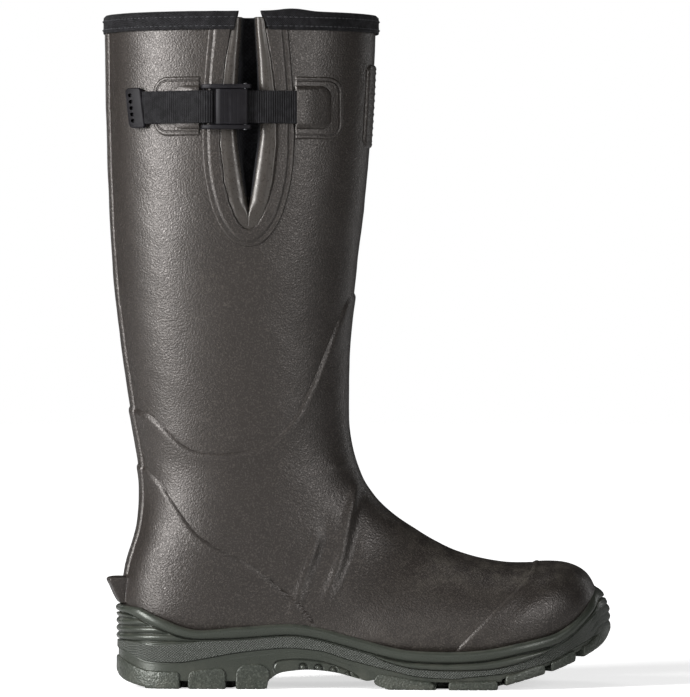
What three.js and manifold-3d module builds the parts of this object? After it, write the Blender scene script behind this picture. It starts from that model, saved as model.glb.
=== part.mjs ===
// Insulated knee-high rubber boot for the right foot: a lugged sole, a neoprene-lined rubber upper
// with a bellows gusset on its outer side, and a webbing strap with a cam buckle over the gusset.
// Millimetres. +X points to the toe, -Y to the outer side of the leg and +Z up, floor at Z = 0.
import * as THREE from "three";
import { mergeVertices } from "three/addons/utils/BufferGeometryUtils.js";
import Module from "manifold-3d";

const wasm = await Module();
wasm.setup();

// ---------------------------------------------------------------- driving dimensions: the upper

const GAP = 0.3; // clearance between neighbouring pieces
const RUBBER = 2; // wall of the rubber upper
const NEOPRENE = 4.5; // wall of the insulating sock
const LAP = 0.8; // thickness of the foot overlay
const SECOND_LAP = 0.6; // thickness of the heel counter and the toe cap, which lie on it
const LINING_FACE = RUBBER + GAP + NEOPRENE; // depth of the sock's inner face
const OUTER_LAP = GAP + LAP + GAP + SECOND_LAP; // height of the outermost overlay's face
const SHAFT_TOP = 413; // top edge of the upper and the sock
const SIDES = 20; // points round each ring of the upper

// Flat sections of the upper from the collar to the tip of the toe. Each one stands on the line
// from its front (or top) point to its back (or bottom) point:
// [front x, front z, back x, back z, half width, centre y, widest place, front and back power]
const SECTIONS = [
  [11.6, SHAFT_TOP, -155.8, SHAFT_TOP, 57, 0, 0.5, 2.1, 2.1],
  [9.4, 362, -155, 362, 57.5, 0, 0.5, 2.1, 2.1],
  [5.8, 312, -153.6, 312, 57, 0, 0.5, 2.1, 2.1],
  [0, 262, -151, 262, 55, 0, 0.5, 2.1, 2.1],
  [-5, 212, -145.8, 212, 50.5, 0, 0.5, 2.1, 2.1],
  [-6, 170, -139, 166, 45.5, 0, 0.5, 2.15, 2.15],
  [-3.8, 148, -133.2, 128, 42, 0, 0.52, 2.2, 2.2],
  [1.7, 130.5, -134.6, 100, 41, 0, 0.55, 2.25, 2.3],
  [8.8, 118.8, -141.6, 74, 40.5, 0, 0.58, 2.3, 2.4],
  [16.3, 110.5, -144, 52, 40, 0, 0.6, 2.35, 2.5],
  [25.4, 103, -140, 36, 39.5, 0, 0.64, 2.35, 2.6],
  [35.5, 96.4, -120, 27, 39, 0, 0.68, 2.3, 2.8],
  [46.6, 89.6, -85, 25.5, 39, 0, 0.7, 2.25, 2.9],
  [60, 83.2, -45, 24, 40.5, -0.5, 0.71, 2.2, 3],
  [75, 78.7, 0, 19.5, 44, -2.5, 0.72, 2.2, 3],
  [92, 75.8, 40, 15.5, 48.5, -1.5, 0.72, 2.2, 3],
  [110, 75.6, 78, 14.8, 50, 0.5, 0.7, 2.2, 2.9],
  [128, 75, 108, 18.5, 44.5, 2.6, 0.66, 2.2, 2.7],
  [139.6, 70, 131, 27.5, 34.5, 5, 0.6, 2.2, 2.5],
  [145.6, 61, 143, 40, 19, 6.5, 0.5, 2.1, 2.2],
  [148, 50, 148, 49.6, 0.5, 7, 0.5, 2, 2],
];

// Edges of the overlays on the upper, as seen from the side, [x, z].
const FOOT_OVERLAY_EDGE = [
  [20, 256], [-3, 243], [-12, 227], [-30, 184], [-42, 163], [-63, 148.5], [-96, 145.5], [-108, 151],
  [-132, 172], [-170, 188],
];
const HEEL_COUNTER_EDGE = [
  [-170, 150], [-129, 136], [-124, 127], [-113, 115], [-100, 96], [-85, 87], [-68, 76], [-35, 60],
  [-22, 43], [-14, 0], [-170, 0],
];
const TOE_CAP_EDGE = [[60, 0], [62, 26], [75, 39], [87, 54], [107, 90], [170, 90], [170, 0]];

const SEAM_HALF = 13; // half width of the back seam strip
const SEAM_THICK = 1.2;
const BADGE = { half: 20, low: 333, high: 384, thick: 1.2 };
const TAPE = { thick: 1.1, low: 403.6 }; // textile tape that binds the collar
const SPUR = { low: 51, high: 67, back: -155.6, front: -129, radius: 38, half: 33 };

// ---------------------------------------------------------------- driving dimensions: the gusset

const OPENING_X = -66.8; // middle of the opening in the shaft
// Half widths as [z, half width].
const OPENING_HALF = [
  [281.5, 0], [284, 4.4], [290, 8.2], [298, 11.6], [310, 14.8], [333, 17.4], [360, 16.8], [385, 13.9],
  [402, 10.8], [420, 9],
];
const BORDER_HALF = [
  [270.5, 0], [272, 6.5], [278, 13.5], [286, 19], [300, 24], [320, 27.6], [345, 28.4], [375, 27],
  [403.2, 24.5],
];
const BORDER_THICK = 1.5;
const GUSSET_LOW = 286;
const GUSSET_TOP = 410;
const GUSSET_SHEET = 1.8;
const GUSSET_DEPTH = 13.5; // how deep the fold reaches below the shaft's face

// ---------------------------------------------------------------- driving dimensions: the sole

// Outline in plan, from the heel along the outer side to the toe and back.
const SOLE_PLAN = [
  [-149, 0], [-143.5, -22], [-124, -37.5], [-88, -42], [-45, -43], [0, -46.5], [40, -53], [74, -55],
  [106, -49.5], [133, -34.5], [150.5, -13], [157, 9], [153, 27], [136, 43.5], [106, 53.5], [72, 54],
  [34, 47], [-5, 42], [-45, 40.5], [-88, 41], [-124, 37], [-143.5, 22],
];
const SIDEWALL = 7; // thickness of the side wall
const LAST_MARGIN = 14; // how far the upper's wall turns in under the foot
// Heights along the sole, [x, z], from the heel to the toe.
const RIM_LINE = [
  [-160, 51.5], [-145, 51], [-129, 49], [-119, 43.2], [-107, 38.3], [-95, 36.5], [-54, 40.8],
  [-38, 41.4], [-21, 39.4], [0, 34.6], [22, 29.4], [62, 24.9], [84, 27], [105, 31.8], [126, 39.2],
  [137, 46.6], [145, 54.8], [150, 61], [154.5, 57.5], [157.5, 47],
];
const TREAD_LINE = [
  [-160, 23], [-130, 20.5], [-110, 20], [-80, 23], [-45, 28], [-20, 26.5], [5, 20], [35, 13], [65, 10.8],
  [90, 12.5], [110, 19], [125, 26], [140, 34], [160, 42],
];
const GROUND_LINE = [
  [-160, 14], [-149, 8.5], [-138, 3], [-124, 0], [-61, 0], [-57, 4], [-53, 9], [-46, 12.6], [-30, 14],
  [-14, 13], [2, 9.6], [12, 6.2], [16, 1.6], [22, 0], [84, 0], [104, 2.8], [120, 8], [135, 15.5],
  [150, 24.5], [160, 33],
];
const MIDSOLE_LOW = [
  [-160, 24], [-125, 13], [-62, 13], [-45, 17.4], [-15, 16.4], [10, 11.6], [40, 8.6], [88, 8.6],
  [115, 15], [135, 25], [160, 40],
];
const MIDSOLE_TOP = [
  [-160, 40], [-120, 34], [-60, 32], [0, 27], [40, 23], [90, 22], [115, 28], [140, 40], [160, 52],
];
const INSOLE_TOP = [
  [-160, 50], [-138, 45], [-120, 40], [-85, 38.5], [-45, 38], [0, 33], [40, 28], [78, 27], [108, 31],
  [131, 40], [150, 52],
];
const SHANK_TOP = [[-98, 21.7], [-60, 21.2], [-45, 20.2], [-20, 18.8]];
const SHANK = { thick: 1.2, half: 7 };
const CROSS_GROOVES = [[-107, 4.2], [-80, 4.6], [50.5, 6.6], [87.5, 6], [114, 4.6], [134, 4.2]]; // [x, width]
const GROOVE_DEPTH = 5.5;
const RUNNER = { y: 17, width: 4.5, bend: 5 }; // the two grooves that run along the sole

// ---------------------------------------------------------------- driving dimensions: the strap

const STRAP = { z: 356, half: 10, thick: 1.3 };
const LOOP = { thick: 2, half: 9.6 };
const FACE_Y = -60.2; // inner face of the buckle
const BAR = { x: -93.5, y: -60.7, radius: 1 }; // bar that holds the buckle's loop
const PIN = { x: -68.4, y: -65.1, radius: 0.9 }; // axis of the cam lever
const CHEEK = { inside: 11.1, outside: 13.5, front: -66.6, back: -95.2, face: -66.9 };
const LEVER = { length: 18.4, thick: 2.1, half: 10.7, hub: 1.6 };
const TAIL_START = -88.2; // where the loose tail leaves the buckle
const STRAP_IN_BUCKLE_Y = -62.4;
// Height of the strap's middle above the shaft, [x, height].
const FRONT_STRAP_RISE = [[-31.4, 2.7], [-37, 2.8], [-46, 3], [-56, 4], [-66, 5]];
const TAIL_RISE = [[-96, 7.4], [-101, 5.6], [-106, 4.2], [-116, 3.4], [-124, 3.1], [-129.6, 3]];
const CAP = { from: -130.1, to: -138.6, thick: 3.2, half: 12.4, rise: 2.6 };
const PATCH_THICK = 1.2;
const FRONT_PATCH = { from: -37.8, to: -9, low: 337, high: 374.6, mouth: -29.6, mouthThick: 4.4 };
const REAR_PATCH = { from: -124.6, to: -96.4, low: 339, high: 374.6, mouth: -104.6, mouthThick: 3.6 };
const MOUTH_HALF = 12.4;

// ---------------------------------------------------------------- curves and the upper's surface

// A smooth curve through evenly numbered values (Catmull-Rom), read at a place from 0 to 1.
function smooth(values, place) {
  const at = THREE.MathUtils.clamp(place, 0, 1) * (values.length - 1);
  const i = Math.min(Math.floor(at), values.length - 2);
  const t = at - i;
  const [a, b, c, d] = [values[Math.max(i - 1, 0)], values[i], values[i + 1], values[i + 2] ?? values[i + 1]];
  return b + 0.5 * t * (c - a + t * (2 * a - 5 * b + 4 * c - d + t * (3 * (b - c) + d - a)));
}

// The value at x on a line of [x, value] pairs, sorted by x.
function along(line, x) {
  if (x <= line[0][0]) return line[0][1];
  for (let i = 1; i < line.length; i++) {
    const [x0, v0] = line[i - 1];
    const [x1, v1] = line[i];
    if (x <= x1) return v0 + ((v1 - v0) * (x - x0)) / (x1 - x0);
  }
  return line[line.length - 1][1];
}

const raised = (line, by) => line.map(([x, z]) => [x, z + by]);
const between = (low, high) => [...low, ...[...high].reverse()];
const columns = SECTIONS[0].map((_, k) => SECTIONS.map((row) => row[k]));

// A point of the upper's outer face. Place runs from 0 at the collar to 1 at the toe. Turn runs from
// 0 at the front over the outer side to 0.5 at the back, and over the inner side to 1.
function upperPoint(place, turn) {
  const row = columns.map((values) => smooth(values, place));
  const [frontX, frontZ, backX, backZ, half, centre, widest, frontPower, backPower] = row;
  const angle = turn * 2 * Math.PI;
  const cos = Math.cos(angle);
  const power = cos > 0 ? frontPower : backPower;
  const reach = Math.abs(cos) ** (2 / power);
  const across = cos > 0 ? widest * (1 - reach) : widest + (1 - widest) * reach;
  const side = Math.sign(Math.sin(angle)) * Math.abs(Math.sin(angle)) ** (2 / power);
  const x = frontX + (backX - frontX) * across;
  return new THREE.Vector3(x, centre - half * side, frontZ + (backZ - frontZ) * across);
}

function upperNormal(place, turn) {
  const h = 1e-3;
  const down = upperPoint(Math.min(place + h, 1), turn).sub(upperPoint(Math.max(place - h, 0), turn));
  const round = upperPoint(place, turn + h).sub(upperPoint(place, turn - h));
  const normal = round.cross(down);
  if (place === 0) normal.setZ(0);
  return normal.normalize();
}

// A point at a height above the upper's face, or below it if negative.
const offsetPoint = (place, turn, height) =>
  upperPoint(place, turn).addScaledVector(upperNormal(place, turn), height);

// A point of the shaft at a height z, found by halving.
function shaftPoint(z, turn, height) {
  let low = 0;
  let high = 0.45;
  for (let i = 0; i < 25; i++) {
    const middle = (low + high) / 2;
    if (upperPoint(middle, turn).z > z) low = middle;
    else high = middle;
  }
  return offsetPoint(low, turn, height);
}

// The point of the shaft's outer side at a height z and at x.
function outerSidePoint(z, x, height) {
  let low = 0.01;
  let high = 0.49;
  for (let i = 0; i < 25; i++) {
    const middle = (low + high) / 2;
    if (shaftPoint(z, middle, height).x > x) low = middle;
    else high = middle;
  }
  return shaftPoint(z, low, height);
}

// ---------------------------------------------------------------- solids

function solidOf(geometry) {
  const bare = geometry.clone();
  bare.deleteAttribute("normal");
  bare.deleteAttribute("uv");
  const merged = mergeVertices(bare, 1e-4);
  const vertProperties = merged.attributes.position.array;
  const triVerts = new Uint32Array(merged.index.array);
  return new wasm.Manifold(new wasm.Mesh({ numProp: 3, vertProperties, triVerts }));
}

function geometryOf(solid) {
  const { vertProperties, triVerts } = solid.getMesh();
  const geometry = new THREE.BufferGeometry();
  geometry.setAttribute("position", new THREE.BufferAttribute(vertProperties, 3));
  geometry.setIndex(new THREE.BufferAttribute(triVerts, 1));
  const faceted = geometry.toNonIndexed();
  faceted.computeVertexNormals();
  return faceted;
}

// The triangles that close a flat ring of points.
function capOf(ring) {
  const normal = new THREE.Vector3();
  ring.forEach((p, i) => normal.add(p.clone().cross(ring[(i + 1) % ring.length])));
  const level = new THREE.Quaternion();
  level.setFromUnitVectors(normal.normalize(), new THREE.Vector3(0, 0, 1));
  const flat = ring.map((p) => p.clone().applyQuaternion(level)).map((p) => new THREE.Vector2(p.x, p.y));
  return THREE.ShapeUtils.triangulateShape(flat, []);
}

// A closed solid through rings of equal length. A last ring of one point is a tip.
function loft(rings) {
  const count = rings[0].length;
  const tip = rings[rings.length - 1].length === 1;
  const full = tip ? rings.slice(0, -1) : rings;
  const last = (full.length - 1) * count;
  const faces = capOf(full[0]).map(([a, b, c]) => [a, c, b]);
  for (let k = 0; k < count; k++) {
    const next = (k + 1) % count;
    for (let row = 0; row < last; row += count) {
      faces.push([row + k, row + next, row + count + k]);
      faces.push([row + next, row + count + next, row + count + k]);
    }
    if (tip) faces.push([last + k, last + next, last + count]);
  }
  if (!tip) faces.push(...capOf(full[full.length - 1]).map((face) => face.map((k) => k + last)));
  const geometry = new THREE.BufferGeometry().setFromPoints(rings.flat());
  const solid = solidOf(geometry.setIndex(faces.flat()));
  return solid.volume() > 0 ? solid : solidOf(geometry.setIndex(faces.flatMap(([a, b, c]) => [a, c, b])));
}

const extruded = (outline, depth) =>
  new THREE.ExtrudeGeometry(new THREE.Shape(outline.map(([x, y]) => new THREE.Vector2(x, y))), {
    depth,
    bevelEnabled: false,
  });

// An outline in plan, [x, y], made solid between two heights.
const standing = (outline, low, high) => solidOf(extruded(outline, high - low).translate(0, 0, low));

// An outline seen from the side, [x, z], made solid between two values of y.
const sideways = (outline, low = -90, high = 90) =>
  solidOf(extruded(outline, high - low).rotateX(Math.PI / 2).translate(0, high, 0));

function block(x0, x1, y0, y1, z0, z1) {
  const geometry = new THREE.BoxGeometry(x1 - x0, y1 - y0, z1 - z0);
  return solidOf(geometry.translate((x0 + x1) / 2, (y0 + y1) / 2, (z0 + z1) / 2));
}

function upright({ x, y }, radius, half, sides = 14) {
  const geometry = new THREE.CylinderGeometry(radius, radius, 2 * half, sides);
  return solidOf(geometry.rotateX(Math.PI / 2).translate(x, y, STRAP.z));
}

// A band that stands on edge along a path of [x, y] points, centred on the strap's height.
function band(path, thickness, half) {
  const edge = (side) =>
    path.map(([x, y], i) => {
      const [x0, y0] = path[Math.max(i - 1, 0)];
      const [x1, y1] = path[Math.min(i + 1, path.length - 1)];
      const shift = (side * thickness) / 2 / Math.hypot(x1 - x0, y1 - y0);
      return [x - (y1 - y0) * shift, y + (x1 - x0) * shift];
    });
  return standing([...edge(1), ...edge(-1).reverse()], STRAP.z - half, STRAP.z + half);
}

// The whole form of the upper at a height above or below its face, filled. It may reach past the
// collar by a length.
function form(height, past = 0) {
  const ring = (place) => Array.from({ length: SIDES }, (_, k) => offsetPoint(place, k / SIDES, height));
  const rings = [];
  if (past) rings.push(ring(0).map((p) => p.setZ(p.z + past)));
  for (let i = 0; i < SECTIONS.length - 1; i++) rings.push(ring(i / (SECTIONS.length - 1)));
  rings.push([upperPoint(1, 0).add(new THREE.Vector3(height, 0, 0))]);
  return loft(rings);
}

// A layer of the upper between two heights, open at the top.
const layer = (inner, outer) => form(outer).subtract(form(inner, 5));

// The sole's outline, moved outwards by a distance.
function solePlan(outwards) {
  const corners = SOLE_PLAN.map(([x, y]) => new THREE.Vector3(x, y, 0));
  const curve = new THREE.CatmullRomCurve3(corners, true);
  return Array.from({ length: 2 * corners.length }, (_, i) => {
    const at = i / (2 * corners.length);
    const p = curve.getPoint(at);
    const way = curve.getTangent(at);
    return [p.x + way.y * outwards, p.y - way.x * outwards];
  });
}

// An upright outline, symmetric about a middle x, from [z, half width] pairs.
const symmetric = (halves, x, wider = 0) => [
  ...halves.map(([z, half]) => [x - half - wider, z]),
  ...[...halves].reverse().map(([z, half]) => [x + half + wider, z]),
];

// ---------------------------------------------------------------- the upper

const opening = sideways(symmetric(OPENING_HALF, OPENING_X), -90, -20);
const underfoot = standing(solePlan(-LAST_MARGIN), 0, 46);

const makeShell = () => layer(-RUBBER, 0).subtract(opening).subtract(underfoot);
const makeSock = () => {
  const clear = sideways(symmetric(OPENING_HALF, OPENING_X, 0.6), -90, -20);
  return layer(-LINING_FACE, -RUBBER - GAP).subtract(clear);
};
const makeFootOverlay = () =>
  layer(GAP, GAP + LAP)
    .intersect(sideways([...FOOT_OVERLAY_EDGE, [-170, 0], [170, 0], [170, 256]]))
    .subtract(underfoot);
const secondLayer = () => layer(OUTER_LAP - SECOND_LAP, OUTER_LAP).subtract(underfoot);
const makeHeelCounter = () => secondLayer().intersect(sideways(HEEL_COUNTER_EDGE));
const makeToeCap = () => secondLayer().intersect(sideways(TOE_CAP_EDGE));

// The strip climbs over the foot overlay and the heel counter on its way down to the spur.
function makeSeamStrip() {
  const low = SPUR.high + GAP;
  const levels = [TAPE.low - GAP, 340, 270, 205, 189, 182, 162, 150, 143, 120, 95, 80, low];
  const rise = [[145, OUTER_LAP + GAP], [151, GAP + LAP + GAP], [183, GAP + LAP + GAP], [189, GAP]];
  const ring = (z) => {
    const height = along(rise, z);
    const reach = Math.asin(SEAM_HALF / 60) / (2 * Math.PI);
    const turns = [-1, -0.5, 0, 0.5, 1].map((side) => 0.5 + side * reach);
    const outer = turns.map((turn) => shaftPoint(z, turn, height + SEAM_THICK));
    const inner = turns.map((turn) => shaftPoint(z, turn, height));
    return [...outer, ...inner.reverse()].map((p) => p.setZ(z));
  };
  const under = (height, top) => form(height).intersect(block(-200, -100, -90, 90, 0, top));
  return loft(levels.map(ring))
    .subtract(under(OUTER_LAP + GAP, 145))
    .subtract(under(GAP + LAP + GAP, 186))
    .subtract(under(GAP, 450));
}

function makeSpur() {
  const middle = SPUR.back + SPUR.radius;
  const plan = Array.from({ length: 24 }, (_, i) => {
    const angle = (i / 24) * 2 * Math.PI;
    return [middle + SPUR.radius * Math.cos(angle), SPUR.half * Math.sin(angle)];
  });
  const { low, high, back, front } = SPUR;
  const side = [[back - 1, high - 2], [back + 1, high - 5], [back + 5, low + 4], [front, low], [front, high - 4]];
  return standing(plan, low, high)
    .intersect(sideways([...side, [back + 8, high], [back - 1, high]]))
    .subtract(form(OUTER_LAP + GAP))
    .subtract(standing(solePlan(GAP), 0, RIM_LINE[1][1] + GAP));
}

function makeBadge() {
  const { half, low, high, thick } = BADGE;
  return layer(GAP, GAP + thick).intersect(block(-30, 40, -half, half, low, high));
}

// The tape folds over the top edge of the upper and the sock, and stops at the gusset.
function makeBinding() {
  const outside = form(GAP + TAPE.thick, GAP + TAPE.thick);
  const wall = form(GAP, GAP).subtract(form(-LINING_FACE - GAP, 5));
  const inside = form(-LINING_FACE - GAP - TAPE.thick, 5);
  return outside
    .subtract(wall)
    .subtract(inside)
    .subtract(block(-200, 200, -90, 90, -10, TAPE.low))
    .subtract(block(OPENING_X - 11.4, OPENING_X + 11.4, -90, -20, 300, 450));
}

// ---------------------------------------------------------------- the gusset

// One folded sheet: from each edge of the opening it rolls outwards and then dives into the fold.
function makeGusset() {
  const halfPath = (half) => {
    const depth = Math.min(GUSSET_DEPTH, 1.1 * half);
    return [
      [1, 1.8], [0.84, 1.1], [0.66, 1.3], [0.52, 0.2 * depth], [0.46, 0.5 * depth], [0.36, 0.82 * depth],
      [0.18, depth],
    ].map(([across, below]) => [across * half, below]);
  };
  const ring = (z) => {
    const half = along(OPENING_HALF, z) - GAP - 0.2;
    const faceY = outerSidePoint(z, OPENING_X, 0).y;
    const left = halfPath(half).map(([across, below]) => [OPENING_X - across, faceY + below]);
    const right = halfPath(half).map(([across, below]) => [OPENING_X + across, faceY + below]);
    const path = [...left, ...right.reverse()];
    const inner = path.map(([x, y], i) => {
      const [x0, y0] = path[Math.max(i - 1, 0)];
      const [x1, y1] = path[Math.min(i + 1, path.length - 1)];
      const shift = Math.min(GUSSET_SHEET, 0.35 * half) / Math.hypot(x1 - x0, y1 - y0);
      const end = i === 0 || i === path.length - 1 ? 0 : 1;
      return [x - (y1 - y0) * shift * end, y + (x1 - x0) * (end ? shift : GUSSET_SHEET / (x1 - x0))];
    });
    return [...path, ...inner.reverse()].map(([x, y]) => new THREE.Vector3(x, y, z));
  };
  return loft([GUSSET_LOW, 292, 300, 312, 326, 342, 360, 378, 395, GUSSET_TOP].map(ring));
}

function makeBorder() {
  const outside = sideways(symmetric(BORDER_HALF, OPENING_X), -90, -20);
  return layer(GAP, GAP + BORDER_THICK).intersect(outside).subtract(opening);
}

// ---------------------------------------------------------------- the strap and its buckle

const strapPath = (rises) =>
  rises.map(([x, rise]) => {
    const p = outerSidePoint(STRAP.z, x, rise);
    return [p.x, p.y];
  });
const inBuckle = [[PIN.x - 2, STRAP_IN_BUCKLE_Y], [TAIL_START + 0.9, STRAP_IN_BUCKLE_Y]];
const frontPath = [...strapPath(FRONT_STRAP_RISE), ...inBuckle];
const tailPath = [
  [TAIL_START, STRAP_IN_BUCKLE_Y - 0.4], [-91, -63.7], [-93.5, -63.8], ...strapPath(TAIL_RISE),
];
const loopPath = [[BAR.x, BAR.y], [-97, -59.6], ...strapPath([[-100, 2.2], [-104, 1.6]])];

const makeFrontStrap = () => band(frontPath, STRAP.thick, STRAP.half);
const makeTail = () => band(tailPath, STRAP.thick, STRAP.half);
const makeCap = () => {
  const steps = [0, 0.5, 1].map((t) => CAP.from + t * (CAP.to - CAP.from));
  return band(strapPath(steps.map((x) => [x, CAP.rise])), CAP.thick, CAP.half);
};
const makeLoop = () =>
  band(loopPath, LOOP.thick, LOOP.half)
    .add(upright(BAR, BAR.radius + GAP + 0.8, LOOP.half))
    .subtract(upright(BAR, BAR.radius + GAP, STRAP.half));

// A rubber patch on the shaft with a raised mouth, and the channel that a band runs in.
function makePatch({ from, to, low, high, mouth, mouthThick }, channel) {
  const edge = Math.abs(mouth - from) < Math.abs(mouth - to) ? from : to;
  const [x0, x1] = [Math.min(edge, mouth), Math.max(edge, mouth)];
  const corner = 5;
  const rounded = [];
  for (const [x, z, start] of [
    [to - corner, high - corner, 0], [from + corner, high - corner, 1],
    [from + corner, low + corner, 2], [to - corner, low + corner, 3],
  ]) {
    for (const t of [0, 0.5, 1]) {
      const angle = ((start + t) * Math.PI) / 2;
      rounded.push([x + corner * Math.cos(angle), z + corner * Math.sin(angle)]);
    }
  }
  const lip = [[x0, STRAP.z - MOUTH_HALF], [x1, STRAP.z - MOUTH_HALF], [x1, STRAP.z + MOUTH_HALF], [x0, STRAP.z + MOUTH_HALF]];
  const plate = layer(GAP, GAP + PATCH_THICK).intersect(sideways(rounded, -90, 0));
  const mouthPiece = layer(GAP, GAP + mouthThick).intersect(sideways(lip, -90, 0));
  return plate.add(mouthPiece).subtract(channel);
}

const makeFrontPatch = () => makePatch(FRONT_PATCH, band(frontPath, STRAP.thick + 2 * GAP, STRAP.half + GAP));
const makeRearPatch = () => makePatch(REAR_PATCH, band(loopPath, LOOP.thick + 2 * GAP, LOOP.half + GAP));

// The buckle's frame: two cheeks, a floor that the strap runs over and the loop's bar.
function makeFrame() {
  const floor = block(-89.6, -69.6, FACE_Y - 1.1, FACE_Y, STRAP.z - CHEEK.inside - 1, STRAP.z + CHEEK.inside + 1);
  const outline = [
    [CHEEK.front, FACE_Y], [CHEEK.front, CHEEK.face + 1], [CHEEK.front - 1, CHEEK.face],
    [-86, CHEEK.face], [CHEEK.back + 1, -64.6], [CHEEK.back, -63.6], [CHEEK.back, BAR.y + 1.4], [-92, FACE_Y + 0.6],
    [-90, FACE_Y],
  ];
  const cheek = (side) => {
    const [low, high] = [side * CHEEK.inside, side * CHEEK.outside].sort((a, b) => a - b);
    return standing(outline, STRAP.z + low, STRAP.z + high);
  };
  return floor
    .add(cheek(1))
    .add(cheek(-1))
    .add(upright(BAR, BAR.radius, CHEEK.inside + 1))
    .subtract(upright(PIN, PIN.radius + GAP, 20));
}

// The lever lies shut over the strap and swings outwards about its pin.
function makeLever() {
  const tip = PIN.x - LEVER.length;
  const outline = [
    [PIN.x, PIN.y - LEVER.hub], [PIN.x, PIN.y + LEVER.hub], [tip + 2, PIN.y + LEVER.hub - 0.2],
    [tip, PIN.y + 0.7], [tip, PIN.y - 0.5], [tip + 2, PIN.y - LEVER.hub],
  ];
  return standing(outline, STRAP.z - LEVER.half, STRAP.z + LEVER.half)
    .add(upright(PIN, LEVER.hub, LEVER.half))
    .subtract(upright(PIN, PIN.radius + GAP, 20));
}

const makePin = () =>
  [1, -1].reduce((pin, side) => {
    const head = upright(PIN, PIN.radius + 0.7, 0.4).translate([0, 0, side * (CHEEK.outside + GAP + 0.4)]);
    return pin.add(head);
  }, upright(PIN, PIN.radius, CHEEK.outside + GAP + 0.2));

// ---------------------------------------------------------------- the sole

const belowUpper = (solid, height) => solid.subtract(form(height));

const makeSidewall = () =>
  belowUpper(
    standing(solePlan(0), 0, 80)
      .subtract(standing(solePlan(-SIDEWALL), 0, 80))
      .intersect(sideways(between(TREAD_LINE, RIM_LINE))),
    OUTER_LAP + GAP,
  );

// The midsole meets the overlays at its edge and the lasting board in the middle, where a channel
// holds the shank.
function makeMidsole() {
  const slab = sideways(between(MIDSOLE_LOW, MIDSOLE_TOP));
  const rim = belowUpper(standing(solePlan(-SIDEWALL - GAP), 0, 60).intersect(slab), OUTER_LAP + GAP);
  const middle = belowUpper(standing(solePlan(-LAST_MARGIN - 2 * GAP), 0, 60).intersect(slab), GAP);
  const floor = raised(SHANK_TOP, -SHANK.thick - GAP);
  floor[0][0] -= GAP;
  floor[floor.length - 1][0] += GAP;
  const channel = sideways(between(floor, raised(floor, 30)), -SHANK.half - GAP, SHANK.half + GAP);
  return rim.add(middle).subtract(channel);
}

const makeShank = () =>
  sideways(between(raised(SHANK_TOP, -SHANK.thick), SHANK_TOP), -SHANK.half, SHANK.half);
const makeBoard = () => layer(-RUBBER, 0).intersect(standing(solePlan(-LAST_MARGIN - GAP), 0, 46));
const makeInsole = () => form(-LINING_FACE - GAP).intersect(sideways([...INSOLE_TOP, [170, 0], [-170, 0]]));

function makeOutsole() {
  const body = standing(solePlan(0), -5, 60).intersect(sideways(between(GROUND_LINE, raised(TREAD_LINE, -GAP))));
  const tray = standing(solePlan(-SIDEWALL), 0, 80)
    .intersect(sideways(between(raised(MIDSOLE_LOW, -GAP), raised(MIDSOLE_LOW, 60))));
  const cutDepth = sideways(between(raised(GROUND_LINE, -5), raised(GROUND_LINE, GROOVE_DEPTH)));
  let lugs = belowUpper(body.subtract(tray), OUTER_LAP + GAP);
  for (const [x, width] of CROSS_GROOVES) {
    lugs = lugs.subtract(block(x - width / 2, x + width / 2, -90, 90, -5, 40).intersect(cutDepth));
  }
  for (const side of [-1, 1]) {
    for (const [from, to] of [[-150, -62], [24, 150]]) {
      const path = Array.from({ length: 9 }, (_, i) => {
        const x = from + ((to - from) * i) / 8;
        return [x, side * (RUNNER.y + (i % 2 ? RUNNER.bend : 0))];
      });
      const edge = (shift) => path.map(([x, y]) => [x, y + shift]);
      const runner = standing(between(edge(-RUNNER.width / 2), edge(RUNNER.width / 2)), -5, 40);
      lugs = lugs.subtract(runner.intersect(cutDepth));
    }
  }
  return lugs;
}

// ---------------------------------------------------------------- the assembly

const finish = (color, roughness, metalness = 0) => ({ color, roughness, metalness });
const RUBBER_FINISH = finish(0x3f3a36, 0.55);
const GLOSS_FINISH = finish(0x4a443f, 0.35);
const SOLE_FINISH = finish(0x40433c, 0.65);
const TEXTILE_FINISH = finish(0x1d1c1e, 0.9);
const NEOPRENE_FINISH = finish(0x232327, 0.95);
const PLASTIC_FINISH = finish(0x19181b, 0.4);
const FOAM_FINISH = finish(0x6d6c66, 0.9);
const BOARD_FINISH = finish(0x8a7556, 0.9);
const STEEL_FINISH = finish(0x9a9a9c, 0.35, 1);

const PIECES = [
  ["outsole", makeOutsole, SOLE_FINISH],
  ["sidewall", makeSidewall, SOLE_FINISH],
  ["midsole", makeMidsole, FOAM_FINISH],
  ["shank", makeShank, STEEL_FINISH],
  ["lasting_board", makeBoard, BOARD_FINISH],
  ["insole", makeInsole, FOAM_FINISH],
  ["upper_shell", makeShell, RUBBER_FINISH],
  ["neoprene_sock", makeSock, NEOPRENE_FINISH],
  ["foot_overlay", makeFootOverlay, RUBBER_FINISH],
  ["heel_counter", makeHeelCounter, RUBBER_FINISH],
  ["toe_cap", makeToeCap, RUBBER_FINISH],
  ["back_seam_strip", makeSeamStrip, RUBBER_FINISH],
  ["kick_spur", makeSpur, RUBBER_FINISH],
  ["shin_badge", makeBadge, RUBBER_FINISH],
  ["collar_binding", makeBinding, TEXTILE_FINISH],
  ["gusset", makeGusset, GLOSS_FINISH],
  ["gusset_border", makeBorder, RUBBER_FINISH],
  ["front_patch", makeFrontPatch, RUBBER_FINISH],
  ["rear_patch", makeRearPatch, RUBBER_FINISH],
  ["strap_front", makeFrontStrap, TEXTILE_FINISH],
  ["strap_tail", makeTail, TEXTILE_FINISH],
  ["strap_end_cap", makeCap, PLASTIC_FINISH],
  ["buckle_loop", makeLoop, TEXTILE_FINISH],
  ["buckle_frame", makeFrame, PLASTIC_FINISH],
  ["cam_lever", makeLever, PLASTIC_FINISH],
  ["lever_pin", makePin, STEEL_FINISH],
];

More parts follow.
